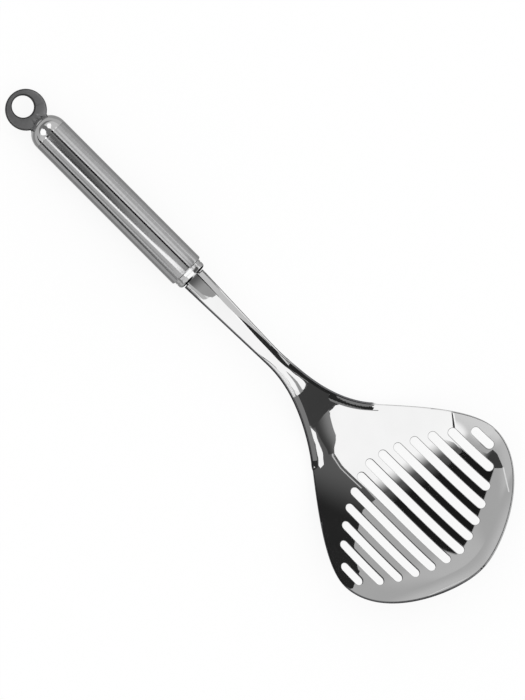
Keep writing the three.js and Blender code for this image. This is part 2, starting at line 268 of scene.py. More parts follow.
@dataclass(frozen=True)
class PolishedSteel:
    """Steel polished to a mirror, with faint hairlines left by the wheel, and painted shade on the edges
    that the mesh marks.
    """

    name: str
    shade: Triple = (0.77, 0.77, 0.77)  # colour of the duller patches
    shine: Triple = (0.84, 0.84, 0.84)  # colour of the brighter patches
    patch_scale: float = 55.0
    roughness: Pair = (0.03, 0.06)  # where the polish is best, and where it is worn
    hairline: float = 0.000002  # height of the hairlines in metres
    hair_scale: Triple = (90.0, 1800.0, 1800.0)
    hair_strength: float = 0.12
    wave: float = 0.00003  # height of the faint waves left by the press, in metres
    wave_scale: float = 60.0
    wave_strength: float = 1.0
    cut: Triple = (0.13, 0.13, 0.135)  # painted shade: the dark colour laid on the edges that the mesh marks
    cut_roughness: float = 0.25  # how much rougher these are
    edge_shade_name: str = "cut_edge"  # the mesh attribute that marks where the edge shade is painted

    def material(self) -> bpy.types.Material:
        """Builds the material.

        Returns:
            The new material.
        """
        sheet = NodeSheet(bpy.data.materials.new(self.name))
        place = sheet.add("TexCoord").outputs["Object"]
        patches = sheet.noise(place, self.patch_scale, detail=3.0)
        hairs = sheet.noise(sheet.stretch(place, self.hair_scale), detail=2.0)
        waves = sheet.noise(place, self.wave_scale, detail=1.0)
        pressed = sheet.bump(waves, self.wave_strength, self.wave)
        # painted shade: where the mesh marks an edge, its colour turns to the dark edge colour and its gloss
        # rougher
        cut = sheet.add("Attribute", attribute_name=self.edge_shade_name).outputs["Fac"]
        gloss = sheet.spread(patches, CLOUD, *self.roughness)
        return sheet.metal(
            color=sheet.two_tone(cut, sheet.two_tone(patches, self.shade, self.shine), self.cut),
            Roughness=sheet.math("ADD", gloss, sheet.math("MULTIPLY", cut, self.cut_roughness)),
            Normal=sheet.bump(hairs, self.hair_strength, self.hairline, Normal=pressed),
        )


@dataclass(frozen=True)
class BrushedSteel:
    """Steel brushed round the tube, so that its highlights run along it."""

    name: str
    shade: Triple = (0.5, 0.5, 0.505)  # colour in the scratches
    shine: Triple = (0.8, 0.8, 0.805)  # colour between them
    roughness: Pair = (0.15, 0.21)
    anisotropy: float = 1.0  # how far the brushing stretches the highlights
    scratch: float = 0.000004  # height of the scratches in metres
    scratch_strength: float = 0.25
    grain_scale: Triple = (5.0, 14.0, 1.0)  # single scratches
    band_scale: Triple = (1.7, 3.0, 1.0)  # bands of scratches
    uv_name: str = "brushing"  # the map whose first axis runs along the tube

    def material(self) -> bpy.types.Material:
        """Builds the material.

        Returns:
            The new material.
        """
        sheet = NodeSheet(bpy.data.materials.new(self.name))
        place = sheet.add("UVMap", uv_map=self.uv_name).outputs[0]
        grain = sheet.noise(sheet.stretch(place, self.grain_scale), detail=4.0)
        bands = sheet.noise(sheet.stretch(place, self.band_scale), detail=2.0)
        half = 0.5
        mixed = sheet.math("ADD", *(sheet.math("MULTIPLY", pattern, half) for pattern in (grain, bands)))
        return sheet.metal(
            color=sheet.two_tone(mixed, self.shade, self.shine),
            Roughness=sheet.spread(mixed, CLOUD, *self.roughness),
            Normal=sheet.bump(grain, self.scratch_strength, self.scratch),
            Tangent=sheet.add("Tangent", direction_type="UV_MAP", uv_map=self.uv_name).outputs[0],
            Anisotropic=self.anisotropy,
        )


@dataclass(frozen=True)
class SatinSteel:
    """Steel with a fine blasted face, and painted shade on its edges, where the normal leans away from
    upright.
    """

    name: str
    shade: Triple  # colour of the darker patches
    shine: Triple  # colour of the lighter ones
    roughness: Pair
    patch_scale: float = 120.0
    edge: float = 0.25  # share of the colour that is left where shade is painted on the edges
    edge_shade_tilt: Pair = (0.9, 0.995)  # how upright the normal is where the painted edge shade is full, and where it has faded out on a face
    grain: float = 0.00001  # height of the grain in metres
    grain_scale: float = 2600.0
    grain_strength: float = 0.3

    def material(self) -> bpy.types.Material:
        """Builds the material.

        Returns:
            The new material.
        """
        sheet = NodeSheet(bpy.data.materials.new(self.name))
        place = sheet.add("TexCoord").outputs["Object"]
        patches = sheet.noise(place, self.patch_scale, detail=3.0)
        grain = sheet.noise(place, self.grain_scale, detail=2.0)
        # painted shade: the colour is darkened where the normal leans from upright, as on the rounded edges
        upright = sheet.add("SeparateXYZ", {0: sheet.add("NewGeometry").outputs["Normal"]}).outputs[2]
        flat = sheet.spread(sheet.math("ABSOLUTE", upright), self.edge_shade_tilt, self.edge, 1.0)
        face = sheet.two_tone(patches, self.shade, self.shine)
        return sheet.metal(
            color=sheet.add("VectorMath", {0: face, 3: flat}, operation="SCALE").outputs[0],
            Roughness=sheet.spread(grain, CLOUD, *self.roughness),
            Normal=sheet.bump(grain, self.grain_strength, self.grain),
        )


class Bench:
    """The hand tools that the turned and flat pieces are shaped with."""

    TURN_STEPS = 160
    MERGE = 0.0001  # points closer than this are one

    @staticmethod
    def clear() -> None:
        """Deselects everything."""
        bpy.ops.object.select_all(action="DESELECT")

    @classmethod
    def pick(cls, piece: Piece) -> None:
        """Makes a piece the only one selected, and active.

        Args:
            piece: The piece.
        """
        cls.clear()
        piece.select_set(True)
        bpy.context.view_layer.objects.active = piece

    @staticmethod
    def label(name: str) -> Piece:
        """Names the primitive that was just added, and its mesh.

        Args:
            name: The new name.

        Returns:
            The primitive.
        """
        piece = bpy.context.active_object
        piece.name = piece.data.name = name
        return piece

    @classmethod
    def turn(cls, name: str, profile: list[Pair]) -> Piece:
        """Draws a profile by extruding a point and spins it about the handle's axis.

        Args:
            name: Name of the piece.
            profile: Pairs of place along the axis and distance from it.

        Returns:
            The turned piece.
        """
        cls.clear()
        bpy.ops.mesh.primitive_plane_add(size=1.0, location=(0.0, 0.0, 0.0))
        piece = cls.label(name)
        bpy.ops.object.mode_set(mode="EDIT")
        bpy.ops.mesh.select_all(action="SELECT")
        bpy.ops.mesh.merge(type="CENTER")
        bpy.ops.transform.translate(value=(profile[0][0], 0.0, profile[0][1]))
        for (x, radius), (next_x, next_radius) in zip(profile, profile[1:]):
            step = (next_x - x, 0.0, next_radius - radius)
            bpy.ops.mesh.extrude_region_move(TRANSFORM_OT_translate={"value": step})
        bpy.ops.mesh.select_all(action="SELECT")
        bpy.ops.mesh.spin(steps=cls.TURN_STEPS, angle=2.0 * math.pi, center=(0, 0, 0), axis=(1, 0, 0))
        bpy.ops.mesh.select_all(action="SELECT")
        bpy.ops.mesh.remove_doubles(threshold=cls.MERGE)
        bpy.ops.mesh.normals_make_consistent(inside=False)
        bpy.ops.object.mode_set(mode="OBJECT")
        return piece

    @staticmethod
    def fix_place() -> None:
        """Puts the selected piece's place, turn and scale into its mesh."""
        bpy.ops.object.transform_apply(location=True, rotation=True, scale=True)

    @classmethod
    def stand(cls, piece: Piece, x: float) -> None:
        """Turns a turned piece upright and moves it along the handle.

        Args:
            piece: The piece, turned about the handle's axis.
            x: Its new place along the handle.
        """
        cls.pick(piece)
        piece.rotation_euler = (0.0, -math.pi / 2.0, 0.0)
        piece.location = (x, 0.0, 0.0)
        cls.fix_place()

    @classmethod
    def block(cls, low: Triple, high: Triple) -> Piece:
        """Makes a box between two corners, to cut or join with.

        Args:
            low: The lowest corner.
            high: The highest corner.

        Returns:
            The box.
        """
        cls.clear()
        middle = (Vector(low) + Vector(high)) / 2.0
        bpy.ops.mesh.primitive_cube_add(size=1.0, location=middle, scale=Vector(high) - Vector(low))
        return bpy.context.active_object

    @classmethod
    def rod(cls, x: float, radius: float, length: float, sides: int) -> Piece:
        """Makes an upright cylinder on the handle's axis, to cut with.

        Args:
            x: Its place along the handle.
            radius: Its radius.
            length: Its height.
            sides: How many sides it has.

        Returns:
            The cylinder.
        """
        cls.clear()
        place = (x, 0.0, 0.0)
        bpy.ops.mesh.primitive_cylinder_add(vertices=sides, radius=radius, depth=length, location=place)
        return bpy.context.active_object

    @classmethod
    def combine(cls, piece: Piece, other: Piece, operation: str = "DIFFERENCE") -> None:
        """Cuts another solid out of a piece or joins it to it, and removes the other.

        Args:
            piece: The piece that is changed.
            other: The solid that is used up.
            operation: DIFFERENCE or UNION.
        """
        cls.pick(piece)
        change = piece.modifiers.new("change", "BOOLEAN")
        change.operation = operation
        change.solver = "EXACT"
        change.object = other
        bpy.ops.object.modifier_apply(modifier=change.name)
        bpy.data.objects.remove(other)

    @classmethod
    def soften(cls, piece: Piece, width: float, segments: int, angle: float) -> None:
        """Rounds the sharp edges of a piece.

        Args:
            piece: The piece.
            width: Width of the rounding.
            segments: Steps across it.
            angle: Edges sharper than this many degrees are rounded.
        """
        cls.pick(piece)
        rounding = piece.modifiers.new("rounding", "BEVEL")
        rounding.width = width
        rounding.segments = segments
        rounding.limit_method = "ANGLE"
        rounding.angle_limit = math.radians(angle)
        rounding.use_clamp_overlap = True
        bpy.ops.object.modifier_apply(modifier=rounding.name)

    @classmethod
    def smooth(cls, piece: Piece, angle: float) -> None:
        """Shades a piece smooth, apart from edges sharper than an angle in degrees."""
        cls.pick(piece)
        bpy.ops.object.shade_smooth_by_angle(angle=math.radians(angle))

    @classmethod
    def seat(cls, piece: Piece, handle: HandleFrame) -> None:
        """Moves a piece from the handle's frame into the part's, with its place in its mesh.

        Args:
            piece: The piece.
            handle: The handle's frame.
        """
        cls.pick(piece)
        cls.fix_place()
        piece.matrix_world = handle.matrix
        bpy.context.view_layer.update()
        cls.fix_place()


def settle(piece: Piece, node: Node, finish: bpy.types.Material) -> Piece:
    """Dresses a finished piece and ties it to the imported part.

    Args:
        piece: The piece, in its place.
        node: The solid that it stands for.
        finish: Its material.

    Returns:
        The same piece.
    """
    piece.data.materials.clear()
    piece.data.materials.append(finish)
    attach(piece, BODY)
    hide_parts(node.value)
    LOG.info("%s stands for %s with %d faces", piece.name, node.value, len(piece.data.polygons))
    return piece


@dataclass
class HandleTube:
    """The brushed tube of the handle."""

    diameter: float = 18.0
    wall: float = 0.8
    length: float = 91.5
    front_roll: float = 0.7  # radius of the rolled front edge
    back_ease: float = 0.12  # radius of the eased back edge
    roll_steps: int = 5  # steps round each edge
    smooth_angle: float = 40.0

    @property
    def radius(self) -> float:
        """Outer radius."""
        return self.diameter / 2.0

    @property
    def bore(self) -> float:
        """Radius of the bore."""
        return self.radius - self.wall

    @property
    def spigot(self) -> float:
        """Radius of what fits in the bore."""
        return self.bore - FIT

    def build(self, handle: HandleFrame, finish: BrushedSteel) -> Piece:
        """Turns the tube and lays its brushing map.

        Args:
            handle: The handle's frame.
            finish: The brushed finish.

        Returns:
            The tube.
        """
        back_centre = (self.back_ease, self.radius - self.back_ease)
        front_centre = (self.length - self.front_roll, self.radius - self.front_roll)
        profile = [
            (0.0, self.bore),
            *arc(back_centre, self.back_ease, 180.0, 90.0, self.roll_steps),
            *arc(front_centre, self.front_roll, 90.0, 0.0, self.roll_steps),
            (self.length, self.bore),
            (0.0, self.bore),
        ]
        tube = Bench.turn("brushed_handle_tube", profile)
        self.map_brushing(tube, finish.uv_name)
        Bench.smooth(tube, self.smooth_angle)
        Bench.seat(tube, handle)
        return settle(tube, Node.TUBE, finish.material())

    @staticmethod
    def map_brushing(tube: Piece, uv_name: str) -> None:
        """Lays a map whose first axis runs along the tube, in millimetres, and the second round it.

        Args:
            tube: The tube, still in the handle's frame.
            uv_name: Name of the map.
        """
        mesh = tube.data
        layer = mesh.uv_layers.new(name=uv_name)
        half_turn = 0.5
        for face in mesh.polygons:
            places = [mesh.vertices[mesh.loops[corner].vertex_index].co for corner in face.loop_indices]
            angles = [math.atan2(place.z, place.y) / (2.0 * math.pi) for place in places]
            wraps = max(angles) - min(angles) > half_turn
            for corner, place, angle in zip(face.loop_indices, places, angles):
                turned = angle + 1.0 if wraps and angle < 0.0 else angle
                layer.data[corner].uv = (place.x + place.yz.length, turned)


@dataclass
class RearCap:
    """The polished dome on a spigot, with the pocket for the ring's tab."""

    tube: HandleTube
    end_wall: float = 2.2  # wall behind the pocket
    seam: float = 0.06  # gap that is left against the tube
    rim_ease: float = 0.08  # width of the eased rim there
    dome_steps: int = 48
    smooth_angle: float = 35.0

    def build(self, handle: HandleFrame, ring: "HangingRing", finish: PolishedSteel) -> Piece:
        """Turns the dome, and cuts its pocket and pin hole.

        Args:
            handle: The handle's frame.
            ring: The ring that it holds.
            finish: The polished finish.

        Returns:
            The cap.
        """
        radius = self.tube.radius
        spigot_end = ring.tab_depth + FIT + self.end_wall
        profile = [
            *arc((-FIT, 0.0), radius, 180.0, 90.0, self.dome_steps),
            (-self.seam - self.rim_ease, radius),
            (-self.seam, radius - self.rim_ease),
            (-self.seam, self.tube.spigot),
            (spigot_end, self.tube.spigot),
            (spigot_end, 0.0),
        ]
        cap = Bench.turn("domed_rear_cap", profile)
        half_width = ring.tab_width / 2.0 + FIT
        half_height = ring.thickness / 2.0 + FIT
        low = (-2.0 * radius, -half_width, -half_height)
        high = (ring.tab_depth + FIT, half_width, half_height)
        Bench.combine(cap, Bench.block(low, high))
        Bench.combine(cap, ring.pin_bore(self.tube.diameter))
        Bench.smooth(cap, self.smooth_angle)
        Bench.seat(cap, handle)
        return settle(cap, Node.CAP, finish.material())


@dataclass
class HangingRing:
    """The flat satin ring with the tab that goes into the dome."""

    diameter: float = 20.0
    hole: float = 10.6  # diameter of the hole
    hole_offset: float = 2.1  # how far the hole sits towards the free side
    thickness: float = 2.2
    behind_dome: float = 16.2  # from the dome's centre back to the ring's
    tab_width: float = 11.0
    tab_depth: float = 6.5  # how far the tab reaches into the tube
    tab_angle: float = 50.0  # edges of the tab sharper than this many degrees are rounded
    pin_diameter: float = 3.0
    pin_from_end: float = 3.2  # from the tab's end to the pin
    pin_sides: int = 32
    edge: float = 0.9  # radius of the rounding on the edges
    edge_steps: int = 6
    cutter_turn: float = 10.0  # left off the hole's rounding at each face, in degrees
    smooth_angle: float = 30.0

    @property
    def centre(self) -> float:
        """Place of the ring's centre along the handle."""
        return -FIT - self.behind_dome

    def pin_bore(self, length: float) -> Piece:
        """Makes the solid that cuts the pin's hole."""
        place = self.tab_depth - self.pin_from_end
        return Bench.rod(place, self.pin_diameter / 2.0 + FIT, length, self.pin_sides)

    def build(self, handle: HandleFrame, finish: SatinSteel) -> Piece:
        """Joins the rounded disc to the tab and bores both holes.

        Args:
            handle: The handle's frame.
            finish: The satin finish.

        Returns:
            The ring.
        """
        half_height = self.thickness / 2.0
        round_centre = half_height - self.edge
        rim = self.diameter / 2.0 - self.edge
        profile = [
            (-half_height, 0.0),
            *arc((-round_centre, rim), self.edge, 180.0, 90.0, self.edge_steps),
            *arc((round_centre, rim), self.edge, 90.0, 0.0, self.edge_steps),
            (half_height, 0.0),
        ]
        ring = Bench.turn("flat_hanging_ring", profile)
        Bench.stand(ring, self.centre)
        half_width = self.tab_width / 2.0
        low = (self.centre, -half_width, -half_height)
        tab = Bench.block(low, (self.tab_depth, half_width, half_height))
        Bench.soften(tab, self.edge, self.edge_steps, self.tab_angle)
        Bench.combine(ring, tab, "UNION")
        lip = self.hole / 2.0 + self.edge
        deep = 2.0 * self.thickness
        spool = [
            (-deep, 0.0),
            (-deep, lip),
            *arc((-round_centre, lip), self.edge, 180.0 + self.cutter_turn, 270.0, self.edge_steps),
            *arc((round_centre, lip), self.edge, 270.0, 360.0 - self.cutter_turn, self.edge_steps),
            (deep, lip),
            (deep, 0.0),
        ]
        bore = Bench.turn("ring_bore", spool)
        Bench.stand(bore, self.centre - self.hole_offset)
        Bench.combine(ring, bore)
        Bench.combine(ring, self.pin_bore(2.0 * deep))
        Bench.smooth(ring, self.smooth_angle)
        Bench.seat(ring, handle)
        return settle(ring, Node.RING, finish.material())


@dataclass
class FrontFerrule:
    """The polished collar on a spigot in the tube's front end."""

    tube: HandleTube
    spigot_length: float = 8.0  # how far it goes into the tube
    groove_from_tube: float = 1.3  # from the tube's end to the groove
    groove_width: float = 0.4
    groove_depth: float = 0.3
    land: float = 1.1  # from the groove to the rounded edge
    edge_radius: float = 1.5  # radius of the front edge
    edge_steps: int = 10
    front_shade_reach: float = 0.9  # length over which painted shade darkens the collar's front, where the neck leaves it
    smooth_angle: float = 35.0

    @property
    def back(self) -> float:
        """Place of its back end."""
        return self.tube.length - self.spigot_length

    @property
    def groove(self) -> Pair:
        """Places of the groove's two sides."""
        start = self.tube.length + self.groove_from_tube
        return start, start + self.groove_width

    @property
    def front(self) -> float:
        """Place of the collar's front face."""
        return self.groove[1] + self.land + self.edge_radius

    def build(self, handle: HandleFrame, head: "SlottedHead", finish: PolishedSteel) -> Piece:
        """Turns the ferrule and cuts the tang's passage through it.

        Args:
            handle: The handle's frame.
            head: The head whose tang goes through.
            finish: The polished finish.

        Returns:
            The ferrule.
        """
        radius = self.tube.spigot
        groove_back, groove_front = self.groove
        side = self.groove_width / 4.0
        edge_centre = (self.front - self.edge_radius, radius - self.edge_radius)
        profile = [
            (self.back, 0.0),
            (self.back, radius - FIT),
            (self.back + FIT, radius),
            (groove_back, radius),
            (groove_back + side, radius - self.groove_depth),
            (groove_front - side, radius - self.groove_depth),
            (groove_front, radius),
            *arc(edge_centre, self.edge_radius, 90.0, 0.0, self.edge_steps),
            (self.front, 0.0),
        ]
        ferrule = Bench.turn("collared_front_ferrule", profile)
        low, high = head.tang_room()
        margin = self.spigot_length
        Bench.combine(ferrule, Bench.block((self.back - margin, *low), (self.front + margin, *high)))
        Bench.smooth(ferrule, self.smooth_angle)
        # painted shade: the collar's front, next to the neck, is marked dark for the finish
        layer = ferrule.data.attributes.new(finish.edge_shade_name, "FLOAT", "POINT")
        for mark, vertex in zip(layer.data, ferrule.data.vertices):
            mark.value = min(max((vertex.co.x - self.front) / self.front_shade_reach + 1.0, 0.0), 1.0)
        Bench.seat(ferrule, handle)
        return settle(ferrule, Node.FERRULE, finish.material())


@dataclass
class SlottedHead:
    """The pressed sheet: tang, trough-shaped neck, flare and dished blade with drain slots.

    A mirror shows every facet, so the sheet is meshed straight from the shape of its upper
    side, and its normals are those of that shape.
    """

    root: float  # place of the neck's root along the handle
    tang_back: float  # place of the tang's end
    thickness: float = 1.2
    edge: float = 0.3  # radius of the rounding on the slots' edges
    rim_edge: float = 0.5  # radius of the rounding on the outline
    edge_turns: Triple = (30.0, 60.0, 90.0)  # turns of the rounding's steps from the upper side
    tang_width: float = 8.0
    root_width: float = 11.4
    waist_width: float = 7.7
    waist_from_root: float = 54.2
    shoulder_from_root: float = 104.0
    shoulder_width: float = 41.4
    shoulder_angle: float = 40.8  # angle of the outline at the shoulder in degrees
    blade_length: float = 91.7  # from the shoulder to the tip
    blade_width: float = 105.6
    corner_from_shoulder: float = 50.5  # from the shoulder to the widest place
    waist_ease: float = 0.42  # how long the outline stays level after the waist, as a share of the flare
    shoulder_ease_in: float = 0.2  # how long it keeps the shoulder's angle before the shoulder
    shoulder_ease_out: float = 0.33  # how long it keeps that angle after the shoulder
    corner_ease_in: float = 0.27  # how long it is level before the widest place
    corner_ease_out: float = 0.6  # how long it is level after the widest place
    tip_ease: float = 0.3  # how long it is square at the tip, as a share of the half width
    outline_steps: int = 400  # steps of each of the outline's curves
    least_half_width: float = 0.05
    edge_drop: float = 0.3  # how far the neck's edges lie under the handle's axis
    root_trough: float = 2.3  # depth of the trough at the root
    waist_trough: float = 1.6  # depth of the trough at the waist
    bend_from_root: float = 57.0  # from the root to where the neck bends down
    floor_drop: float = 15.9  # how far the blade's floor lies under the axis
    floor_tilt: float = 1.8  # rise of the floor towards the tip in degrees
    shoulder_rise: float = 1.35  # how far the edges rise over the floor at the shoulder
    corner_drop: float = 3.0  # how far the edges lie under the axis at the widest place
    tip_drop: float = 0.0  # how far the tip lies under the axis
    lip_power: float = 7.0  # how sharply the front lip turns up
    trough_power: float = 2.0  # how sharply the trough's sides turn up
    dish_power: float = 2.3  # how sharply the blade's sides turn up
    floor_ease: float = 12.0  # length over which the floor takes up its tilt
    climb_ease: float = 0.12  # share of the side over which its edge starts to climb
    flange_width: float = 2.6  # width of the turned-up edge along the flare
    flange_height: float = 1.2
    flange_limit: float = 1.2  # how far out its shape goes on, as a share of its width from its inner side
    flange_start: Pair = (8.0, 14.0)  # from the waist back to where it rises and on to where it stands
    flange_end: float = 1.8  # length over which it ends past the shoulder
    slot_width: float = 4.2
    slot_pitch: float = 7.64  # from one slot to the next
    slots_each_side: int = 6  # slots on each side of the middle one
    slots_from_shoulder: float = 17.4
    slots_from_tip: float = 10.8
    slots_from_side: float = 3.2  # from the field of slots to the blade's side
    slot_power: float = 1.43  # shape of the field of slots
    slot_fan: float = 0.25  # turn from one slot to the next in degrees
    slot_end_steps: int = 12
    edge_shade_level: float = 0.6  # how much painted shade the cut edges get that face along the handle
    edge_shade_least: float = 0.2  # the least painted shade that any cut edge gets
    grid: float = 0.9  # spacing of the mesh on the blade
    neck_grid: float = 0.5  # spacing of the mesh across the neck
    clearance: float = 0.6  # room that the mesh keeps from an edge, as a share of its spacing
    slope_step: float = 0.05  # step over which a slope is measured
    same_point: float = 1e-6

    def __post_init__(self) -> None:
        """Works out the places along the handle and the table of half widths."""
        self.waist = self.root + self.waist_from_root
        self.bend = self.root + self.bend_from_root
        self.shoulder = self.root + self.shoulder_from_root
        self.corner = self.shoulder + self.corner_from_shoulder
        self.tip = self.shoulder + self.blade_length
        self.half_outline = self.draw_outline()

    def draw_outline(self) -> np.ndarray:
        """Draws one side of the neck and blade, seen from above.

        Returns:
            Rows of place along the handle and half width, from the root to the tip.
        """
        rise = math.tan(math.radians(self.shoulder_angle))
        root = (self.root, self.root_width / 2.0)
        waist = (self.waist, self.waist_width / 2.0)
        shoulder = (self.shoulder, self.shoulder_width / 2.0)
        corner = (self.corner, self.blade_width / 2.0)
        tip = (self.tip, 0.0)
        flare = self.shoulder - self.waist
        back = self.shoulder_ease_in * flare
        ahead = self.shoulder_ease_out * self.corner_from_shoulder
        front = self.tip - self.corner
        leave_waist = (waist[0] + self.waist_ease * flare, waist[1])
        reach_shoulder = (shoulder[0] - back, shoulder[1] - back * rise)
        leave_shoulder = (shoulder[0] + ahead, shoulder[1] + ahead * rise)
        reach_corner = (corner[0] - self.corner_ease_in * self.corner_from_shoulder, corner[1])
        leave_corner = (corner[0] + self.corner_ease_out * front, corner[1])
        reach_tip = (self.tip, self.tip_ease * corner[1])
        curves = [
            [root, root, waist, waist],
            [waist, leave_waist, reach_shoulder, shoulder],
            [shoulder, leave_shoulder, reach_corner, corner],
            [corner, leave_corner, reach_tip, tip],
        ]
        return np.vstack([bezier(points, self.outline_steps)[:-1] for points in curves] + [[tip]])

    def half_width(self, x: np.ndarray) -> np.ndarray:
        """Reads the half width, which the tang's trough keeps from the root."""
        return np.maximum(np.interp(x, *self.half_outline.T), self.least_half_width)

    def flange_share(self, x: np.ndarray) -> np.ndarray:
        """Tells how far the turned-up edge stands at places along the handle, from 0 to 1."""
        rise = ramp(x, self.waist - self.flange_start[0], self.waist + self.flange_start[1])
        return rise * (1.0 - ramp(x, self.shoulder, self.shoulder + self.flange_end))

    def middle_and_rim(self, x: np.ndarray) -> tuple[np.ndarray, np.ndarray]:
        """Heights of the sheet along its middle and along its edges.

        Args:
            x: Places along the handle.

        Returns:
            The heights of the middle and those of the edges.
        """
        sinking = ramp(x, self.bend, self.shoulder)
        to_waist = np.clip((x - self.root) / self.waist_from_root, 0.0, 1.0)
        trough = self.root_trough + (self.waist_trough - self.root_trough) * to_waist
        neck = -self.edge_drop - trough
        along = np.maximum(x - self.shoulder, 0.0)
        tilt = math.tan(math.radians(self.floor_tilt))
        lip_rise = self.floor_drop - self.tip_drop - tilt * self.blade_length
        lip = lip_rise * (along / self.blade_length) ** self.lip_power
        sink = (-self.floor_drop - neck) * sinking
        middle = neck + sink + tilt * lift(x - self.shoulder, self.floor_ease) + lip
        shoulder = self.shoulder_rise - self.floor_drop
        neck_edge = -self.edge_drop + (shoulder + self.edge_drop) * sinking
        share = lift((x - self.shoulder) / self.corner_from_shoulder, self.climb_ease)
        climb = np.sin(np.pi / 2.0 * np.minimum(share / lift(np.float64(1.0), self.climb_ease), 1.0))
        to_tip = np.clip((x - self.corner) / (self.tip - self.corner), 0.0, 1.0)
        side = (-self.corner_drop - shoulder) * climb
        front = (self.corner_drop - self.tip_drop) * to_tip
        return middle, neck_edge + side + front

    def height(self, x: np.ndarray, y: np.ndarray) -> np.ndarray:
        """Height of the sheet's upper side.

        Args:
            x: Places along the handle.
            y: Places across it.

        Returns:
            The heights.
        """
        half = self.half_width(x)
        middle, rim = self.middle_and_rim(x)
        power = self.trough_power + (self.dish_power - self.trough_power) * ramp(x, self.bend, self.corner)
        up = np.clip((np.abs(y) - half) / self.flange_width + 1.0, 0.0, self.flange_limit) ** 2
        flange = self.flange_height * self.flange_share(x) * up
        return middle + (rim - middle) * (np.abs(y) / half) ** power + flange

    def slope(self, plan: np.ndarray) -> tuple[np.ndarray, np.ndarray]:
        """Slope of the upper side along and across the handle.

        Args:
            plan: Places seen from above, one a row.

        Returns:
            The two slopes at each place.
        """
        x, y = plan.T
        step = self.slope_step
        along = (self.height(x + step, y) - self.height(x - step, y)) / (2.0 * step)
        across = (self.height(x, y + step) - self.height(x, y - step)) / (2.0 * step)
        return along, across

    def normals(self, plan: np.ndarray) -> np.ndarray:
        """Unit normals of the upper side at places seen from above."""
        along, across = self.slope(plan)
        return unit(np.stack([-along, -across, np.ones(len(plan))], axis=1))

    def on_sheet(self, plan: np.ndarray, depth: float) -> np.ndarray:
        """Finds the places at a depth under the upper side, square to it."""
        top = np.column_stack([plan, self.height(*plan.T)])
        return top - depth * self.normals(plan)

    def outline_loop(self) -> np.ndarray:
        """Walks round the whole sheet, seen from above, with the tang.

        Returns:
            The corners of the outline, anticlockwise.
        """
        half = self.resample(self.half_outline, self.grid)
        tang = self.tang_width / 2.0
        stations = np.arange(self.tang_back, self.root, self.grid)
        shank = np.stack([stations, np.full(len(stations), tang)], axis=1)
        step = np.array([(self.root, tang), (self.root, (tang + self.root_width / 2.0) / 2.0)])
        upper = np.vstack([shank, step, half])
        lower = upper[:-1] * (1.0, -1.0)
        return np.vstack([lower, upper[::-1]])

    @staticmethod
    def resample(line: np.ndarray, spacing: float) -> np.ndarray:
        """Cuts a line into nearly equal steps.

        Args:
            line: Points of the line.
            spacing: Wanted length of a step.

        Returns:
            The new points, with both ends.
        """
        lengths = np.concatenate([[0.0], np.cumsum(np.hypot(*np.diff(line, axis=0).T))])
        count = max(int(round(lengths[-1] / spacing)), 2)
        stations = np.linspace(0.0, lengths[-1], count + 1)
        return np.stack([np.interp(stations, lengths, values) for values in line.T], axis=1)

    def slot_loops(self) -> list[np.ndarray]:
        """Walks round each slot, seen from above.

        Returns:
            The corners of each slot, anticlockwise.
        """
        field = (self.blade_length - self.slots_from_shoulder - self.slots_from_tip) / 2.0
        reach = self.blade_width / 2.0 - self.slots_from_side
        middle = self.shoulder + self.slots_from_shoulder + field
        end = self.slot_width / 2.0
        turn = np.linspace(-np.pi / 2.0, np.pi / 2.0, self.slot_end_steps + 1)
        loops = []
        for number in range(-self.slots_each_side, self.slots_each_side + 1):
            y = number * self.slot_pitch
            half = field * (1.0 - (abs(y) / reach) ** self.slot_power) ** (1.0 / self.slot_power)
            cap = np.stack([half - end + end * np.cos(turn), end * np.sin(turn)], axis=1)
            side = np.arange(half - end, end - half, -self.grid)[1:]
            top = np.stack([side, np.full(len(side), end)], axis=1)
            loop = np.vstack([cap, top, -cap, -top])
            fan = math.radians(number * self.slot_fan)
            rotation = np.array([[math.cos(fan), math.sin(fan)], [-math.sin(fan), math.cos(fan)]])
            loops.append(loop @ rotation + (middle, y))
        return loops

    @staticmethod
    def outward(loop: np.ndarray) -> np.ndarray:
        """Vectors that point out of an anticlockwise loop at its corners, longer at sharp ones.

        Args:
            loop: The corners of the loop.

        Returns:
            The vectors, one a row.
        """
        sharpest = 0.5
        side = unit(np.roll(loop, -1, axis=0) - loop)
        square = np.stack([side[:, 1], -side[:, 0]], axis=1)
        mean = square + np.roll(square, 1, axis=0)
        return mean / np.maximum(np.sum(mean * mean, axis=1, keepdims=True) / 2.0, sharpest)

    def grid_points(self, loops: list[np.ndarray]) -> np.ndarray:
        """Lays points over the sheet that keep clear of its edges.

        Args:
            loops: The outline and then the slots.

        Returns:
            The points seen from above.
        """
        blade = (self.waist, self.tip + self.grid, self.blade_width / 2.0 + self.grid, self.grid)
        neck = (self.tang_back, self.waist, self.root_width / 2.0, self.neck_grid)
        patches = []
        for back, front, side, spacing in (blade, neck):
            xs = np.arange(back, front, self.grid)
            rows = math.ceil(side / spacing)
            ys = np.arange(-rows, rows + 1) * spacing
            patches.append(np.stack(np.meshgrid(xs, ys), axis=-1).reshape(-1, 2))
        points = np.vstack(patches)
        clear = self.clearance * np.where(points[:, 0] < self.waist, self.neck_grid, self.grid)
        keep = self.inside(points, loops[0])
        for index, loop in enumerate(loops):
            low = loop.min(axis=0) - self.grid
            high = loop.max(axis=0) + self.grid
            near = np.flatnonzero(keep & np.all((points > low) & (points < high), axis=1))
            if index:
                keep[near[self.inside(points[near], loop)]] = False
            keep[near[self.distance(points[near], loop) < clear[near]]] = False
        return points[keep]

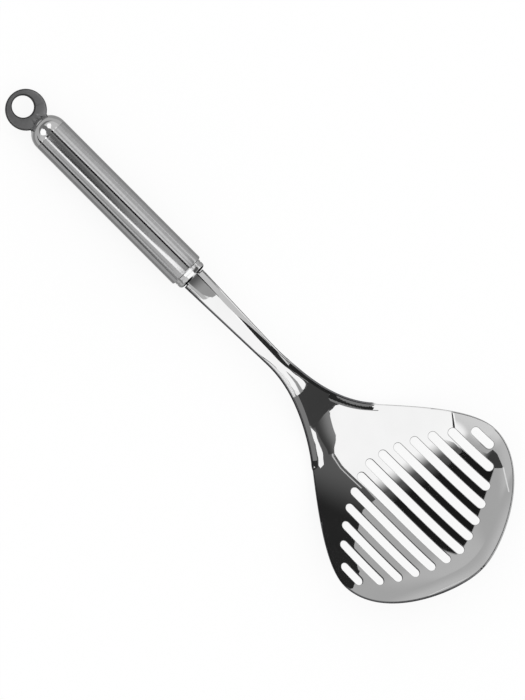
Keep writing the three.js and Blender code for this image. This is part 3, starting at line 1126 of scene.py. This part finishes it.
    @staticmethod
    def inside(points: np.ndarray, loop: np.ndarray) -> np.ndarray:
        """Tells which points lie inside a loop.

        Args:
            points: The points.
            loop: The corners of the loop.

        Returns:
            True for each point inside.
        """
        result = np.zeros(len(points), bool)
        x, y = points.T
        for (ax, ay), (bx, by) in zip(loop, np.roll(loop, -1, axis=0)):
            if ay != by:
                crosses = (ay > y) != (by > y)
                result ^= crosses & (x < (bx - ax) * (y - ay) / (by - ay) + ax)
        return result

    @staticmethod
    def distance(points: np.ndarray, loop: np.ndarray) -> np.ndarray:
        """Distance of points from the corners of a loop.

        Args:
            points: The points.
            loop: The corners of the loop.

        Returns:
            The least distance of each point.
        """
        best = np.full(len(points), np.inf)
        for corner in loop:
            best = np.minimum(best, np.hypot(*(points - corner).T))
        return best

    def tang_room(self) -> tuple[Pair, Pair]:
        """Room that the tang needs in the pieces that it goes through.

        Returns:
            The lowest and highest corner, across and up.
        """
        half = self.tang_width / 2.0 + FIT
        floor = -self.edge_drop - self.root_trough
        rise = self.root_trough * (self.tang_width / self.root_width) ** self.trough_power
        return (-half, floor - self.thickness - FIT), (half, floor + rise + FIT)

    def build(self, handle: HandleFrame, finish: PolishedSteel) -> Piece:
        """Meshes the sheet with rounded edges on its outline and slots.

        Args:
            handle: The handle's frame.
            finish: The polished finish.

        Returns:
            The head.
        """
        outline, slots = self.outline_loop(), self.slot_loops()
        loops = [outline, *slots]
        ways_out = [self.outward(outline), *(-self.outward(slot) for slot in slots)]
        edges = [self.rim_edge] + [self.edge] * len(slots)
        inner = [loop - edge * away for loop, away, edge in zip(loops, ways_out, edges)]
        plan, faces = self.triangulate(inner)
        count = len(plan)
        marks = [np.zeros(2 * count)]
        places = [self.on_sheet(plan, 0.0), self.on_sheet(plan, self.thickness)]
        upper = self.normals(plan)
        normals = [upper, -upper]
        polygons = [tuple(face) for face in faces] + [tuple(count + face[::-1]) for face in faces]
        start = 0
        offset = 2 * count
        for loop, away, edge in zip(loops, ways_out, edges):
            top = np.arange(start, start + len(loop))
            rings, ring_places, ring_normals = self.edge_rings(loop, away, edge, offset)
            places.append(ring_places)
            normals.append(ring_normals)
            marks.append(np.tile(self.edge_shade_marks(loop, away), len(rings)))
            stack = [top, *rings, top + count]
            wall = []
            for above, below in zip(stack, stack[1:]):
                wall += zip(above, below, np.roll(below, -1), np.roll(above, -1))
            polygons += wall if loop is outline else [face[::-1] for face in wall]
            start += len(loop)
            offset += len(ring_places)
        head = self.make_mesh(handle, np.vstack(places), np.vstack(normals), polygons)
        # painted shade: these marks tell the finish how dark to paint each cut edge
        layer = head.data.attributes.new(finish.edge_shade_name, "FLOAT", "POINT")
        layer.data.foreach_set("value", np.concatenate(marks))
        return settle(head, Node.HEAD, finish.material())

    def edge_shade_marks(self, loop: np.ndarray, away: np.ndarray) -> np.ndarray:
        """Tells how much painted shade the cut edge gets along a loop, from the vectors out of the sheet
        there: most where they point to −y, least where they point to +y, and full along the flange.
        """
        facing = np.clip(self.edge_shade_level - away[:, 1], self.edge_shade_least, 1.0)
        return np.maximum(facing, self.flange_share(loop[:, 0]))

    def edge_rings(
        self, loop: np.ndarray, away: np.ndarray, edge: float, offset: int
    ) -> tuple[list[np.ndarray], np.ndarray, np.ndarray]:
        """Rounds the sheet's edge along a loop.

        Args:
            loop: The corners of the loop.
            away: Vectors out of the sheet at those corners.
            edge: Radius of the rounding.
            offset: Number of the first new vertex.

        Returns:
            The vertex numbers of each ring, their places and their normals.
        """
        down = [(turn, edge * (1.0 - math.cos(math.radians(turn)))) for turn in self.edge_turns]
        up = [(180.0 - turn, self.thickness - depth) for turn, depth in reversed(down)]
        rings, places, normals = [], [], []
        for turn, depth in down + up:
            angle = math.radians(turn)
            plan = loop - edge * (1.0 - math.sin(angle)) * away
            along, across = self.slope(plan)
            out = unit(np.column_stack([away, along * away[:, 0] + across * away[:, 1]]))
            places.append(self.on_sheet(plan, depth))
            normals.append(self.normals(plan) * math.cos(angle) + out * math.sin(angle))
            rings.append(np.arange(offset, offset + len(loop)))
            offset += len(loop)
        return rings, np.vstack(places), np.vstack(normals)

    def triangulate(self, loops: list[np.ndarray]) -> tuple[np.ndarray, np.ndarray]:
        """Meshes the sheet seen from above.

        Args:
            loops: The outline and then the slots, drawn in from the edges.

        Returns:
            The places seen from above, loops first, and the triangles.
        """
        points = np.vstack([*loops, self.grid_points(loops)])
        edges = []
        start = 0
        for loop in loops:
            size = len(loop)
            edges += [(start + i, start + (i + 1) % size) for i in range(size)]
            start += size
        result = delaunay_2d_cdt([Vector(point) for point in points], edges, [], 0, self.same_point)
        order = [origin[0] for origin in result[3]]
        faces = np.array([[order[k] for k in face] for face in result[2]])
        middle = points[faces].mean(axis=1)
        keep = self.inside(middle, loops[0])
        for loop in loops[1:]:
            keep &= ~self.inside(middle, loop)
        a, b, c = (points[faces[:, k]] for k in range(3))
        turn = (b[:, 0] - a[:, 0]) * (c[:, 1] - a[:, 1]) - (b[:, 1] - a[:, 1]) * (c[:, 0] - a[:, 0])
        faces[turn < 0.0] = faces[turn < 0.0][:, ::-1]
        return points, faces[keep]

    @staticmethod
    def make_mesh(
        handle: HandleFrame, places: np.ndarray, normals: np.ndarray, polygons: list[tuple[int, ...]]
    ) -> Piece:
        """Makes the mesh in the part's frame.

        Args:
            handle: The handle's frame.
            places: Vertices in the handle's frame.
            normals: Their normals.
            polygons: The faces.

        Returns:
            The head.
        """
        mesh = bpy.data.meshes.new("slotted_skimmer_head")
        mesh.from_pydata(handle.points(places).tolist(), [], [[int(k) for k in face] for face in polygons])
        mesh.validate()
        mesh.shade_smooth()
        mesh.normals_split_custom_set_from_vertices(handle.directions(normals).tolist())
        head = bpy.data.objects.new(mesh.name, mesh)
        bpy.context.scene.collection.objects.link(head)
        return head


@dataclass
class InnerFixings:
    """The plug on the tang and the pin in the ring's tab, which the tube hides."""

    nodes: tuple[Node, ...] = (Node.PLUG, Node.PIN)

    def dress(self, finish: SatinSteel) -> None:
        """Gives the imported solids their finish.

        Args:
            finish: The plain steel finish.
        """
        material = finish.material()
        for node in self.nodes:
            for piece in bpy.data.objects:
                if piece.type == "MESH" and piece.name.split(".")[0] == node.value:
                    piece.data.materials.clear()
                    piece.data.materials.append(material)
                    LOG.info("%s keeps its packed solid", piece.name)


@dataclass(frozen=True)
class SkyZone:
    """A patch of the surroundings that the polished steel shows.

    Each corner is an angle towards the blade and one across the handle, in degrees from the
    camera's axis. The patch has no hollow corner.
    """

    corners: tuple[Pair, ...]
    tone: float  # its brightness
    soft: float = 1.0  # width of its soft edge in degrees


@dataclass(frozen=True)
class Card:
    """A flat card over the object that only its reflections show."""

    name: str
    corners: Corners  # in the handle's frame
    tone: float  # its brightness
    far_tone: float | None = None  # its brightness at the end of a fade, if it has one
    fade: tuple[tuple[float, ...], ...] = ((0.0, 0.0), (1.0, 0.0))  # where that fade starts and ends
    one_sided: bool = False  # whether it shows on its front side alone


@dataclass(frozen=True)
class EdgeScreen:
    """A narrow screen that stands along one edge of the flare and that the edge alone shows."""

    name: str
    side: int  # 1 for the edge on the far side of the handle and -1 for the near one
    reach: Pair  # its two ends along the handle
    low: float  # its lower side over the sheet
    high: float  # its upper side over the sheet
    tone: float  # its brightness
    inset: float = 3.5  # from the flare's edge inwards to the screen, or outwards if it is below 0
    steps: int = 32  # how many flat panels it has


def level(height: float, *corners: Pair) -> Corners:
    """Puts the corners of a card at one height over the handle's axis."""
    return tuple((x, y, height) for x, y in corners)


def over_flare(*corners: Pair, under: float = 0.0) -> Corners:
    """Puts the corners of a card on, or a little under, a plane that sinks with the flare."""
    start, height, fall = 150.0, 2.0, 0.22
    return tuple((x, y, height - under - fall * (x - start)) for x, y in corners)


def over_blade(*corners: Pair, under: float = 0.0) -> Corners:
    """Puts the corners of a card on, or a little under, a plane that rises with the blade's edges."""
    start, height, rise = 203.0, -5.0, 0.075
    return tuple((x, y, height - under + rise * (x - start)) for x, y in corners)


def tilted(along: Pair, across: Pair, heights: Pair) -> Corners:
    """Draws a card from its ends along the handle, its two sides, and the heights of its ends."""
    (back, front), (first, second), (low, high) = along, across, heights
    return (back, first, low), (front, first, high), (front, second, high), (back, second, low)


def strip(height: float, along: Pair, across: Pair) -> Corners:
    """Draws a level card from its ends along the handle and its two sides."""
    return tilted(along, across, (height, height))


def upright(along: Pair, across: Pair, heights: Pair) -> Corners:
    """Draws a standing card from the places of its foot and top, its two sides and their heights."""
    (foot, top), (first, second), (low, high) = along, across, heights
    return (foot, first, low), (foot, second, low), (top, second, high), (top, first, high)


def over_handle(first: float, second: float, front: float = 125.0) -> Corners:
    """Draws a level card over the handle between two places across it."""
    back, height = -4.0, 29.9
    return strip(height, (back, front), (first, second))


WHITE = 1.12  # brightness of a white card or zone in the steel

# The edge between the light and the dark card over the blade, and the light card's front edge.
DISH_LINE = (
    (196.0, 4.5), (198.5, 2.5), (200.5, 0.0), (203.0, -3.5), (205.0, -5.0), (212.0, -6.0), (226.0, -6.0),
)
BAR_LINE = (
    (231.5, -5.5), (233.0, -1.0), (234.0, 5.5), (235.0, 12.0), (237.0, 18.0), (240.5, 24.5), (242.5, 31.0),
)

ZONES = (
    SkyZone(((-85.0, 8.0), (-25.0, 8.0), (-25.0, 60.0), (-85.0, 60.0)), 0.53, 20.0),
    SkyZone(((-45.0, -24.0), (0.0, -24.0), (0.0, -80.0), (-45.0, -80.0)), 0.56, 10.0),
    SkyZone(((-8.0, -25.0), (14.0, -18.0), (47.0, -40.0), (47.0, -80.0), (-8.0, -80.0)), 0.75, 10.0),
    SkyZone(((16.0, 27.5), (-40.0, 26.5), (-38.5, 21.5), (-17.5, -20.5), (-5.0, -16.5), (16.0, -9.0)),
        0.012),
    SkyZone(((7.0, 27.0), (6.5, 20.0), (6.5, 13.5), (8.0, 6.0), (9.5, -2.0), (11.0, -9.5), (16.0, -20.0),
        (27.0, -32.0), (52.0, -55.0), (52.0, 23.0)), WHITE),
    SkyZone(((48.0, -85.0), (89.0, -85.0), (89.0, 30.0), (48.0, 30.0)), 0.05),
    SkyZone(((20.0, 58.0), (89.0, 35.0), (89.0, 89.0), (20.0, 89.0)), 1.0),
)

CARDS = (
    # Over the flare and the blade.
    Card("flare_dark", over_flare((175.5, 5.0), (175.5, -1.5), (184.0, -3.0), (191.0, -4.5), (194.5, -4.0),
        (194.0, -1.5), (193.0, 1.5), (193.0, 4.5), (193.5, 6.5), (195.0, 9.0)), 0.05),
    Card("flare_grey", over_flare((193.0, 1.5), (193.0, 4.5), (195.5, 3.0), (197.0, 2.0), (200.0, -0.5),
        (201.0, -2.5), (202.5, -5.0), (204.5, -7.0), (203.0, -9.0), (199.0, -6.5), (196.0, -4.5),
        (194.0, -3.5), under=0.1), 0.25, 0.05, ((199.0, 0.5), (196.0, -4.0))),
    Card("flare_streak", over_flare((193.5, -4.5), (196.0, -5.0), (198.0, -7.0), (200.0, -9.0),
        (202.5, -12.0), (204.5, -14.0), (204.5, -16.5), (203.0, -16.0), (200.5, -12.5), (198.5, -9.0),
        (196.0, -6.5)), WHITE),
    Card("blade_light", over_blade(*DISH_LINE, *BAR_LINE, (240.5, 36.0), (231.0, 43.5), (222.0, 52.0),
        (196.0, 40.0)), WHITE),
    Card("blade_dark", over_blade(*DISH_LINE, (234.5, -6.5), (234.0, -13.0), (238.5, -19.5), (243.0, -27.0),
        (251.5, -35.0), (254.0, -47.0), (250.0, -60.0), (215.0, -40.0), (196.0, -12.0)), 0.11, 0.02,
        ((216.0, -6.0), (222.0, -24.0))),
    Card("bar_fade", over_blade((227.0, -5.5), (229.0, 6.0), (232.0, 18.0), (238.5, 31.0), (242.5, 33.0),
        (246.5, 33.0), (235.5, -5.5), under=2.5), WHITE, 0.1, ((231.0, 13.0), (239.5, 10.5))),
    Card("bar_dark", over_blade((235.5, -5.5), (246.5, 33.0), (248.0, 33.0), (248.0, -4.0), under=2.5), 0.1,
        0.012, ((239.5, 10.5), (246.0, 8.5))),
    Card("corner_line", over_blade((230.5, 43.0), (231.0, 42.0), (234.5, 39.0), (238.0, 36.0),
        (238.5, 37.0), (234.5, 40.0), under=0.3), 0.05),
    Card("corner_wedge", over_blade((256.0, 42.5), (258.5, 42.5), (264.0, 39.5), (261.5, 36.5),
        (252.0, 37.5), (255.5, 39.0)), 0.4, 0.05, ((253.0, 39.0), (257.0, 39.5))),
    Card("corner_streak", over_blade((263.5, 39.5), (271.0, 32.5), (271.5, 33.0), (264.0, 40.0)), 0.85),
    Card("blade_line", over_blade((201.0, -1.5), (203.5, -4.5), (205.5, -6.0), (212.0, -7.0), (226.0, -7.0),
        (226.0, -7.4), (212.0, -7.4), (205.0, -6.5), (203.0, -5.0), (200.5, -2.0), under=0.2), 0.6),
    # Across the blade, for its turned-up rim.
    Card("rim_screen", upright((222.0, 222.0), (-150.0, 150.0), (-9.0, 28.0)), 0.45, 0.56,
        ((222.0, 0.0, 28.0), (222.0, 0.0, 2.0)), one_sided=True),
    Card("rim_screen_low", upright((222.0, 222.0), (-300.0, -56.0), (-17.0, -9.0)), 0.5, one_sided=True),
    # Over the neck and the start of the flare.
    Card("neck_light", level(22.0, (109.0, -12.0), (138.5, -8.0), (152.5, -7.0), (152.0, 200.0),
        (108.5, 200.0)), WHITE),
    Card("flare_light", ((152.0, -6.0, 21.5), (193.0, -14.0, 11.5), (193.0, 90.0, 11.5),
        (152.0, 200.0, 21.5)), WHITE),
    Card("flare_line", over_flare((160.0, 0.5), (169.0, 1.0), (175.5, 1.0), (175.5, 0.2), (169.0, 0.5)),
        0.35),
    Card("neck_shade", level(21.9, (94.0, -11.0), (97.5, -11.5), (105.5, -12.0), (110.5, -11.0),
        (110.0, 3.5), (108.0, 13.5), (106.0, 25.0), (102.0, 29.5), (98.5, 34.0), (94.0, 38.0)), 0.1, 0.36,
        ((97.0, 0.0), (104.0, 0.0))),
    Card("neck_line", level(21.8, (94.0, -15.5), (97.5, -15.0), (105.5, -14.5), (112.0, -13.0),
        (112.0, -11.5), (105.5, -12.0), (97.5, -11.0), (94.0, -11.0)), 0.02),
    Card("neck_dark", level(21.0, (124.5, -12.5), (138.5, -8.0), (165.0, -6.5), (193.0, -15.0),
        (215.0, -70.0), (146.0, -70.0), (145.5, -35.0)), 0.025),
    Card("neck_pale", level(23.0, (94.0, -200.0), (150.0, -200.0), (150.0, -16.5), (130.0, -13.0),
        (110.0, -10.5), (94.0, -10.0)), 0.64),
    # Over the dome and the ring.
    Card("dome_shade", strip(30.0, (-90.0, 1.5), (-13.0, 5.0)), 0.17),
    Card("dome_near", strip(30.0, (-90.0, 1.5), (-75.0, -13.0)), 0.58),
    Card("dome_far", strip(30.0, (-90.0, 1.5), (5.0, 75.0)), 0.6),
    Card("ring_shade", strip(9.0, (-31.0, -9.5), (-13.0, 13.0)), 0.19),
    # Over the handle.
    Card("handle_shade", over_handle(-23.5, -13.5), 0.06, 0.3, ((30.0, 0.0), (75.0, 0.0))),
    Card("handle_middle", over_handle(-13.5, -4.5), 0.14, 0.45, ((25.0, 0.0), (90.0, 0.0))),
    Card("handle_pale", over_handle(-4.5, -2.0), 0.18, 0.46, ((0.0, 0.0), (90.0, 0.0))),
    Card("handle_paler", over_handle(-2.0, 4.5), 0.26, 0.44, ((10.0, 0.0), (60.0, 0.0))),
    Card("handle_line", level(29.8, (-4.0, 0.4), (90.0, 2.4), (125.0, 3.0), (125.0, 8.2), (90.0, 7.7),
        (-4.0, 5.7)), 0.0),
    Card("handle_edge", level(29.8, (-4.0, 5.7), (90.0, 7.7), (125.0, 8.2), (125.0, 13.0), (90.0, 12.5),
        (-4.0, 9.7)), 0.9),
    Card("handle_side", over_handle(4.5, 17.0), 0.56),
    Card("handle_band", over_handle(17.0, 29.0), 0.82),
    Card("handle_far", over_handle(29.0, 75.0, front=115.0), 0.55),
    Card("handle_near", over_handle(-60.0, -23.5), 0.54),
    Card("handle_nearer", over_handle(-110.0, -60.0), 0.38),
    Card("handle_glint", level(29.8, (-4.0, -34.0), (52.0, -30.5), (90.0, -28.0), (160.0, -24.0),
        (160.0, -5.5), (100.0, -8.5), (85.0, -12.0), (71.0, -17.5), (52.0, -21.0), (20.0, -23.0),
        (-4.0, -23.5)), 1.4),
    # Beside the handle and on the table.
    Card("handle_far_line", tilted((-80.0, 130.0), (-420.0, -80.0), (-5.4, -13.8)), 0.0, 0.35,
        ((60.0, 0.0), (130.0, 0.0))),
    Card("handle_far_wall", ((-80.0, -420.0, -5.4), (130.0, -420.0, -13.8), (130.0, -420.0, 30.0),
        (-80.0, -420.0, 30.0)), 0.0, 0.35, ((60.0, 0.0), (130.0, 0.0))),
    Card("table_near", tilted((-30.0, 110.0), (-25.0, -12.0), (-7.45, -12.95)), 0.28),
    Card("table_far", tilted((-30.0, 110.0), (12.0, 52.0), (-7.45, -12.95)), 0.32),
    # At the collar.
    Card("collar_light", strip(9.6, (91.5, 96.3), (-5.5, 1.0)), 1.2),
    Card("collar_screen_far", upright((99.0, 100.3), (14.0, 3.0), (-4.0, 13.0)), 0.0, one_sided=True),
    Card("collar_screen_near", upright((99.0, 100.3), (-1.8, -10.0), (-4.0, 13.0)), 0.0, one_sided=True),
    # The dome's bright spots.
    Card("dome_glint_near", level(29.0, (-8.0, -17.0), (-14.0, -9.0), (-28.0, -8.0), (-55.0, -22.0),
        (-60.0, -40.0), (-38.0, -48.0), (-18.0, -32.0)), 1.2),
    Card("dome_glint_far", level(29.0, (-10.0, 6.0), (-18.0, 2.0), (-32.0, 8.0), (-42.0, 20.0),
        (-30.0, 27.0), (-18.0, 17.0)), 1.2),
)

SCREENS = (
    EdgeScreen("far_edge_waist", 1, (158.0, 186.0), 0.2, 4.0, 0.02, 1.6),
    EdgeScreen("far_edge_low", 1, (185.0, 205.0), 0.2, 2.0, 0.22, 4.2),
    EdgeScreen("far_edge_high", 1, (185.0, 203.0), 2.0, 14.0, 0.02, 4.2),
    EdgeScreen("far_edge_outside", 1, (162.0, 203.0), -3.0, 6.0, 1.0, -5.0),
    EdgeScreen("far_neck_outside", 1, (98.0, 156.0), -2.0, 0.6, 0.1, -1.5),
    EdgeScreen("near_edge_grey", -1, (172.0, 200.5), 0.2, 8.0, 0.22),
    EdgeScreen("near_edge_dark", -1, (200.5, 203.0), 0.2, 8.0, 0.03),
)


@dataclass
class Studio:
    """The white table, the surroundings, the cards and the camera."""

    to_camera: Triple = (-0.06976, -0.19081, 0.97915)  # direction to the camera in the handle's frame
    target: Triple = (143.6, 0.0, 0.0)  # the place that the camera looks at
    shift_along: float = 0.14  # from it to the picture's centre along the handle
    shift_across: float = -1.05  # from it to the picture's centre across the handle
    distance: float = 2500.0  # from that place to the camera
    frame_height: float = 333.4  # height of the picture at that place
    picture_turn: float = 45.076  # turn of the handle in the picture, in degrees below level
    sensor: float = 36.0  # long side of the sensor
    clip: Pair = (0.05, 50.0)  # nearest and farthest place that the camera sees, in metres
    table_size: float = 4.0  # width of the table in metres
    table_tones: Pair = (0.88, 0.92)  # the paper on the table and its paler fibres
    fibre_scale: float = 300.0
    table_light: float = 1.12  # brightness of the soft light on the table
    table_glow: float = 0.86  # share of the table that is white whatever falls on it
    table_mirrored: float = 0.45  # brightness of the table in the steel
    surround: float = 0.45  # brightness of the surroundings outside the zones
    zones: tuple[SkyZone, ...] = ZONES  # later ones over earlier ones
    cards: tuple[Card, ...] = CARDS
    screens: tuple[EdgeScreen, ...] = SCREENS

    def axes(self) -> tuple[Vector, Vector, Vector]:
        """Axes of the picture in the handle's frame.

        Returns:
            Along the handle, across it, and towards the camera.
        """
        towards = Vector(self.to_camera).normalized()
        along = (Vector((1.0, 0.0, 0.0)) - towards.x * towards).normalized()
        return along, towards.cross(along), towards

    def build(self, handle: HandleFrame, head: SlottedHead) -> None:
        """Builds everything round the object.

        Args:
            handle: The handle's frame.
            head: The head, whose flare has screens along its edges.
        """
        self.lay_table()
        self.light_surroundings(handle)
        for card in self.cards:
            self.hang_card(card, handle)
        for screen in self.screens:
            self.stand_screen(screen, handle, head)
        self.set_camera(handle)
        bpy.context.scene.view_settings.view_transform = "Standard"

    def lay_table(self) -> None:
        """Lays the white table, which keeps a faint shadow."""
        Bench.clear()
        bpy.ops.mesh.primitive_plane_add(size=self.table_size, location=(0.0, 0.0, 0.0))
        table = bpy.context.active_object
        table.name = "white_table"
        sheet = NodeSheet(bpy.data.materials.new("white_table_top"))
        place = sheet.add("TexCoord").outputs["Object"]
        tones = [(tone, tone, tone) for tone in self.table_tones]
        paper = sheet.two_tone(sheet.noise(place, self.fibre_scale, detail=3.0), *tones)
        diffuse = sheet.add("BsdfDiffuse", {"Color": paper}).outputs[0]
        ray = sheet.add("LightPath").outputs
        seen = sheet.math("MULTIPLY", ray["Is Camera Ray"], self.table_glow)
        share = sheet.math("MAXIMUM", seen, ray["Is Glossy Ray"])
        strength = sheet.spread(ray["Is Camera Ray"], (0.0, 1.0), self.table_mirrored, 1.0)
        glow = sheet.add("Emission", {"Color": (1.0, 1.0, 1.0, 1.0), "Strength": strength}).outputs[0]
        surface = sheet.add("MixShader", {0: share, 1: diffuse, 2: glow}).outputs[0]
        table.data.materials.append(sheet.finish("Material", surface))

    def light_surroundings(self, handle: HandleFrame) -> None:
        """Paints the surroundings by direction, white behind the object.

        Args:
            handle: The handle's frame.
        """
        sheet = NodeSheet(bpy.data.worlds.new("studio_surroundings"))
        ray = sheet.add("TexCoord").outputs["Generated"]
        along, across, towards = (sheet.dot(ray, handle.direction(axis)) for axis in self.axes())
        turns = [sheet.math("ARCTAN2", part, towards) for part in (along, across)]
        angles = sheet.add("CombineXYZ", {0: turns[0], 1: turns[1]}).outputs[0]
        tone: object = self.surround
        for zone in self.zones:
            tone = sheet.fade(self.zone_share(sheet, zone, angles), tone, zone.tone)
        path = sheet.add("LightPath").outputs
        soft = sheet.fade(path["Is Diffuse Ray"], tone, self.table_light)
        strength = sheet.fade(path["Is Camera Ray"], soft, 1.0)
        light = sheet.add("Background", {"Color": (1.0, 1.0, 1.0, 1.0), "Strength": strength})
        bpy.context.scene.world = sheet.finish("World", light.outputs[0])

    @staticmethod
    def zone_share(sheet: NodeSheet, zone: SkyZone, angles: Socket) -> Socket:
        """Makes the mask of a zone.

        Args:
            sheet: The world's nodes.
            zone: The zone.
            angles: Socket of the angles towards the blade and across the handle.

        Returns:
            1 inside the zone and 0 outside it.
        """
        half = math.radians(zone.soft) / 2.0
        corners = [Vector(corner) * math.radians(1.0) for corner in zone.corners]
        if sum(a.cross(b) for a, b in zip(corners, corners[1:] + corners[:1])) < 0.0:
            corners.reverse()
        product: object = 1.0
        for start, end in zip(corners, corners[1:] + corners[:1]):
            side = (end - start).normalized()
            inward = Vector((-side.y, side.x, 0.0))
            edge = inward.xy.dot(start)
            within = sheet.spread(sheet.dot(angles, inward), (edge - half, edge + half), 0.0, 1.0)
            product = sheet.math("MULTIPLY", product, within)
        return product

    def hang_card(self, card: Card, handle: HandleFrame) -> None:
        """Hangs a card that only reflections show.

        Args:
            card: The card.
            handle: The handle's frame.
        """
        Bench.clear()
        bpy.ops.mesh.primitive_circle_add(vertices=len(card.corners), fill_type="NGON")
        panel = Bench.label(card.name)
        for vertex, corner in zip(panel.data.vertices, card.corners):
            vertex.co = corner
        self.paper(panel, card, handle)

    def stand_screen(self, screen: EdgeScreen, handle: HandleFrame, head: SlottedHead) -> None:
        """Stands a narrow screen along one edge of the flare.

        Args:
            screen: The screen.
            handle: The handle's frame.
            head: The head.
        """
        stations = np.linspace(*screen.reach, screen.steps + 1)
        if screen.side * screen.inset > 0.0:
            stations = stations[::-1]
        edge = head.half_width(stations)
        across = screen.side * (edge - screen.inset)
        floor = head.height(stations, screen.side * (edge - max(screen.inset, 0.0)))
        Bench.clear()
        bpy.ops.mesh.primitive_grid_add(x_subdivisions=screen.steps, y_subdivisions=1)
        panel = Bench.label(screen.name)
        rows = [np.stack([stations, across, floor + height], axis=1) for height in (screen.low, screen.high)]
        for vertex, corner in zip(panel.data.vertices, np.vstack(rows)):
            vertex.co = corner
        self.paper(panel, Card(screen.name, (), screen.tone, one_sided=True), handle)

    @staticmethod
    def paper(panel: Piece, card: Card, handle: HandleFrame) -> None:
        """Seats a card and gives it its tone, for reflections alone.

        Args:
            panel: The card's mesh in the handle's frame.
            card: The card.
            handle: The handle's frame.
        """
        Bench.seat(panel, handle)
        sheet = NodeSheet(bpy.data.materials.new(card.name + "_paper"))
        strength: object = card.tone
        if card.far_tone is not None:
            start, end = (handle.point((*place, 0.0)[:3]) for place in card.fade)
            way = (end - start) / (end - start).length_squared
            reach = sheet.dot(sheet.add("TexCoord").outputs["Object"], way)
            share = sheet.math("SUBTRACT", reach, way.dot(start))
            strength = sheet.spread(share, (0.0, 1.0), card.tone, card.far_tone)
        surface = sheet.add("Emission", {"Strength": strength}).outputs[0]
        if card.one_sided:
            behind = sheet.add("NewGeometry").outputs["Backfacing"]
            clear = sheet.add("BsdfTransparent").outputs[0]
            surface = sheet.add("MixShader", {0: behind, 1: surface, 2: clear}).outputs[0]
        panel.data.materials.append(sheet.finish("Material", surface))
        panel.visible_camera = False
        panel.visible_diffuse = False
        panel.visible_shadow = False

    def set_camera(self, handle: HandleFrame) -> None:
        """Sets the camera at the photograph's angle.

        Args:
            handle: The handle's frame.
        """
        along, across, towards = self.axes()
        aim = Vector(self.target) + self.shift_along * along + self.shift_across * across
        turn = math.radians(self.picture_turn)
        right = math.cos(turn) * along + math.sin(turn) * across
        up = -math.sin(turn) * along + math.cos(turn) * across
        data = bpy.data.cameras.new("photo_camera")
        data.sensor_fit = "AUTO"
        data.sensor_width = self.sensor
        data.lens = self.sensor * self.distance / self.frame_height
        data.clip_start, data.clip_end = self.clip
        camera = bpy.data.objects.new("photo_camera", data)
        bpy.context.scene.collection.objects.link(camera)
        columns = [handle.direction(axis) for axis in (right, up, towards)]
        turned = Matrix(columns).transposed().to_4x4()
        place = handle.point(aim + self.distance * towards)
        camera.matrix_world = Matrix.Translation(place) @ turned
        bpy.context.scene.camera = camera


def main() -> None:
    """Builds the skimmer piece by piece, and then the studio."""
    logging.basicConfig(level=logging.INFO, format="%(name)s: %(message)s")
    neck_gap = 0.6
    plug_gap = 7.0
    tang_in_plug = 10.0
    tube = HandleTube()
    handle = HandleFrame.from_nodes(tube.length)
    ferrule = FrontFerrule(tube)
    head = SlottedHead(ferrule.front + neck_gap, ferrule.back - plug_gap - tang_in_plug)
    ring = HangingRing()
    mirror = PolishedSteel("polished_fitting_steel")
    satin = SatinSteel("satin_ring_steel", (0.32, 0.32, 0.325), (0.5, 0.5, 0.505), (0.37, 0.47))
    plain = SatinSteel("plain_turned_steel", (0.5, 0.5, 0.505), (0.6, 0.6, 0.605), (0.45, 0.55))
    head.build(handle, PolishedSteel("polished_sheet_steel"))
    tube.build(handle, BrushedSteel("brushed_tube_steel"))
    ferrule.build(handle, head, mirror)
    RearCap(tube).build(handle, ring, mirror)
    ring.build(handle, satin)
    InnerFixings().dress(plain)
    Studio().build(handle, head)


if __name__ == "__main__":
    main()
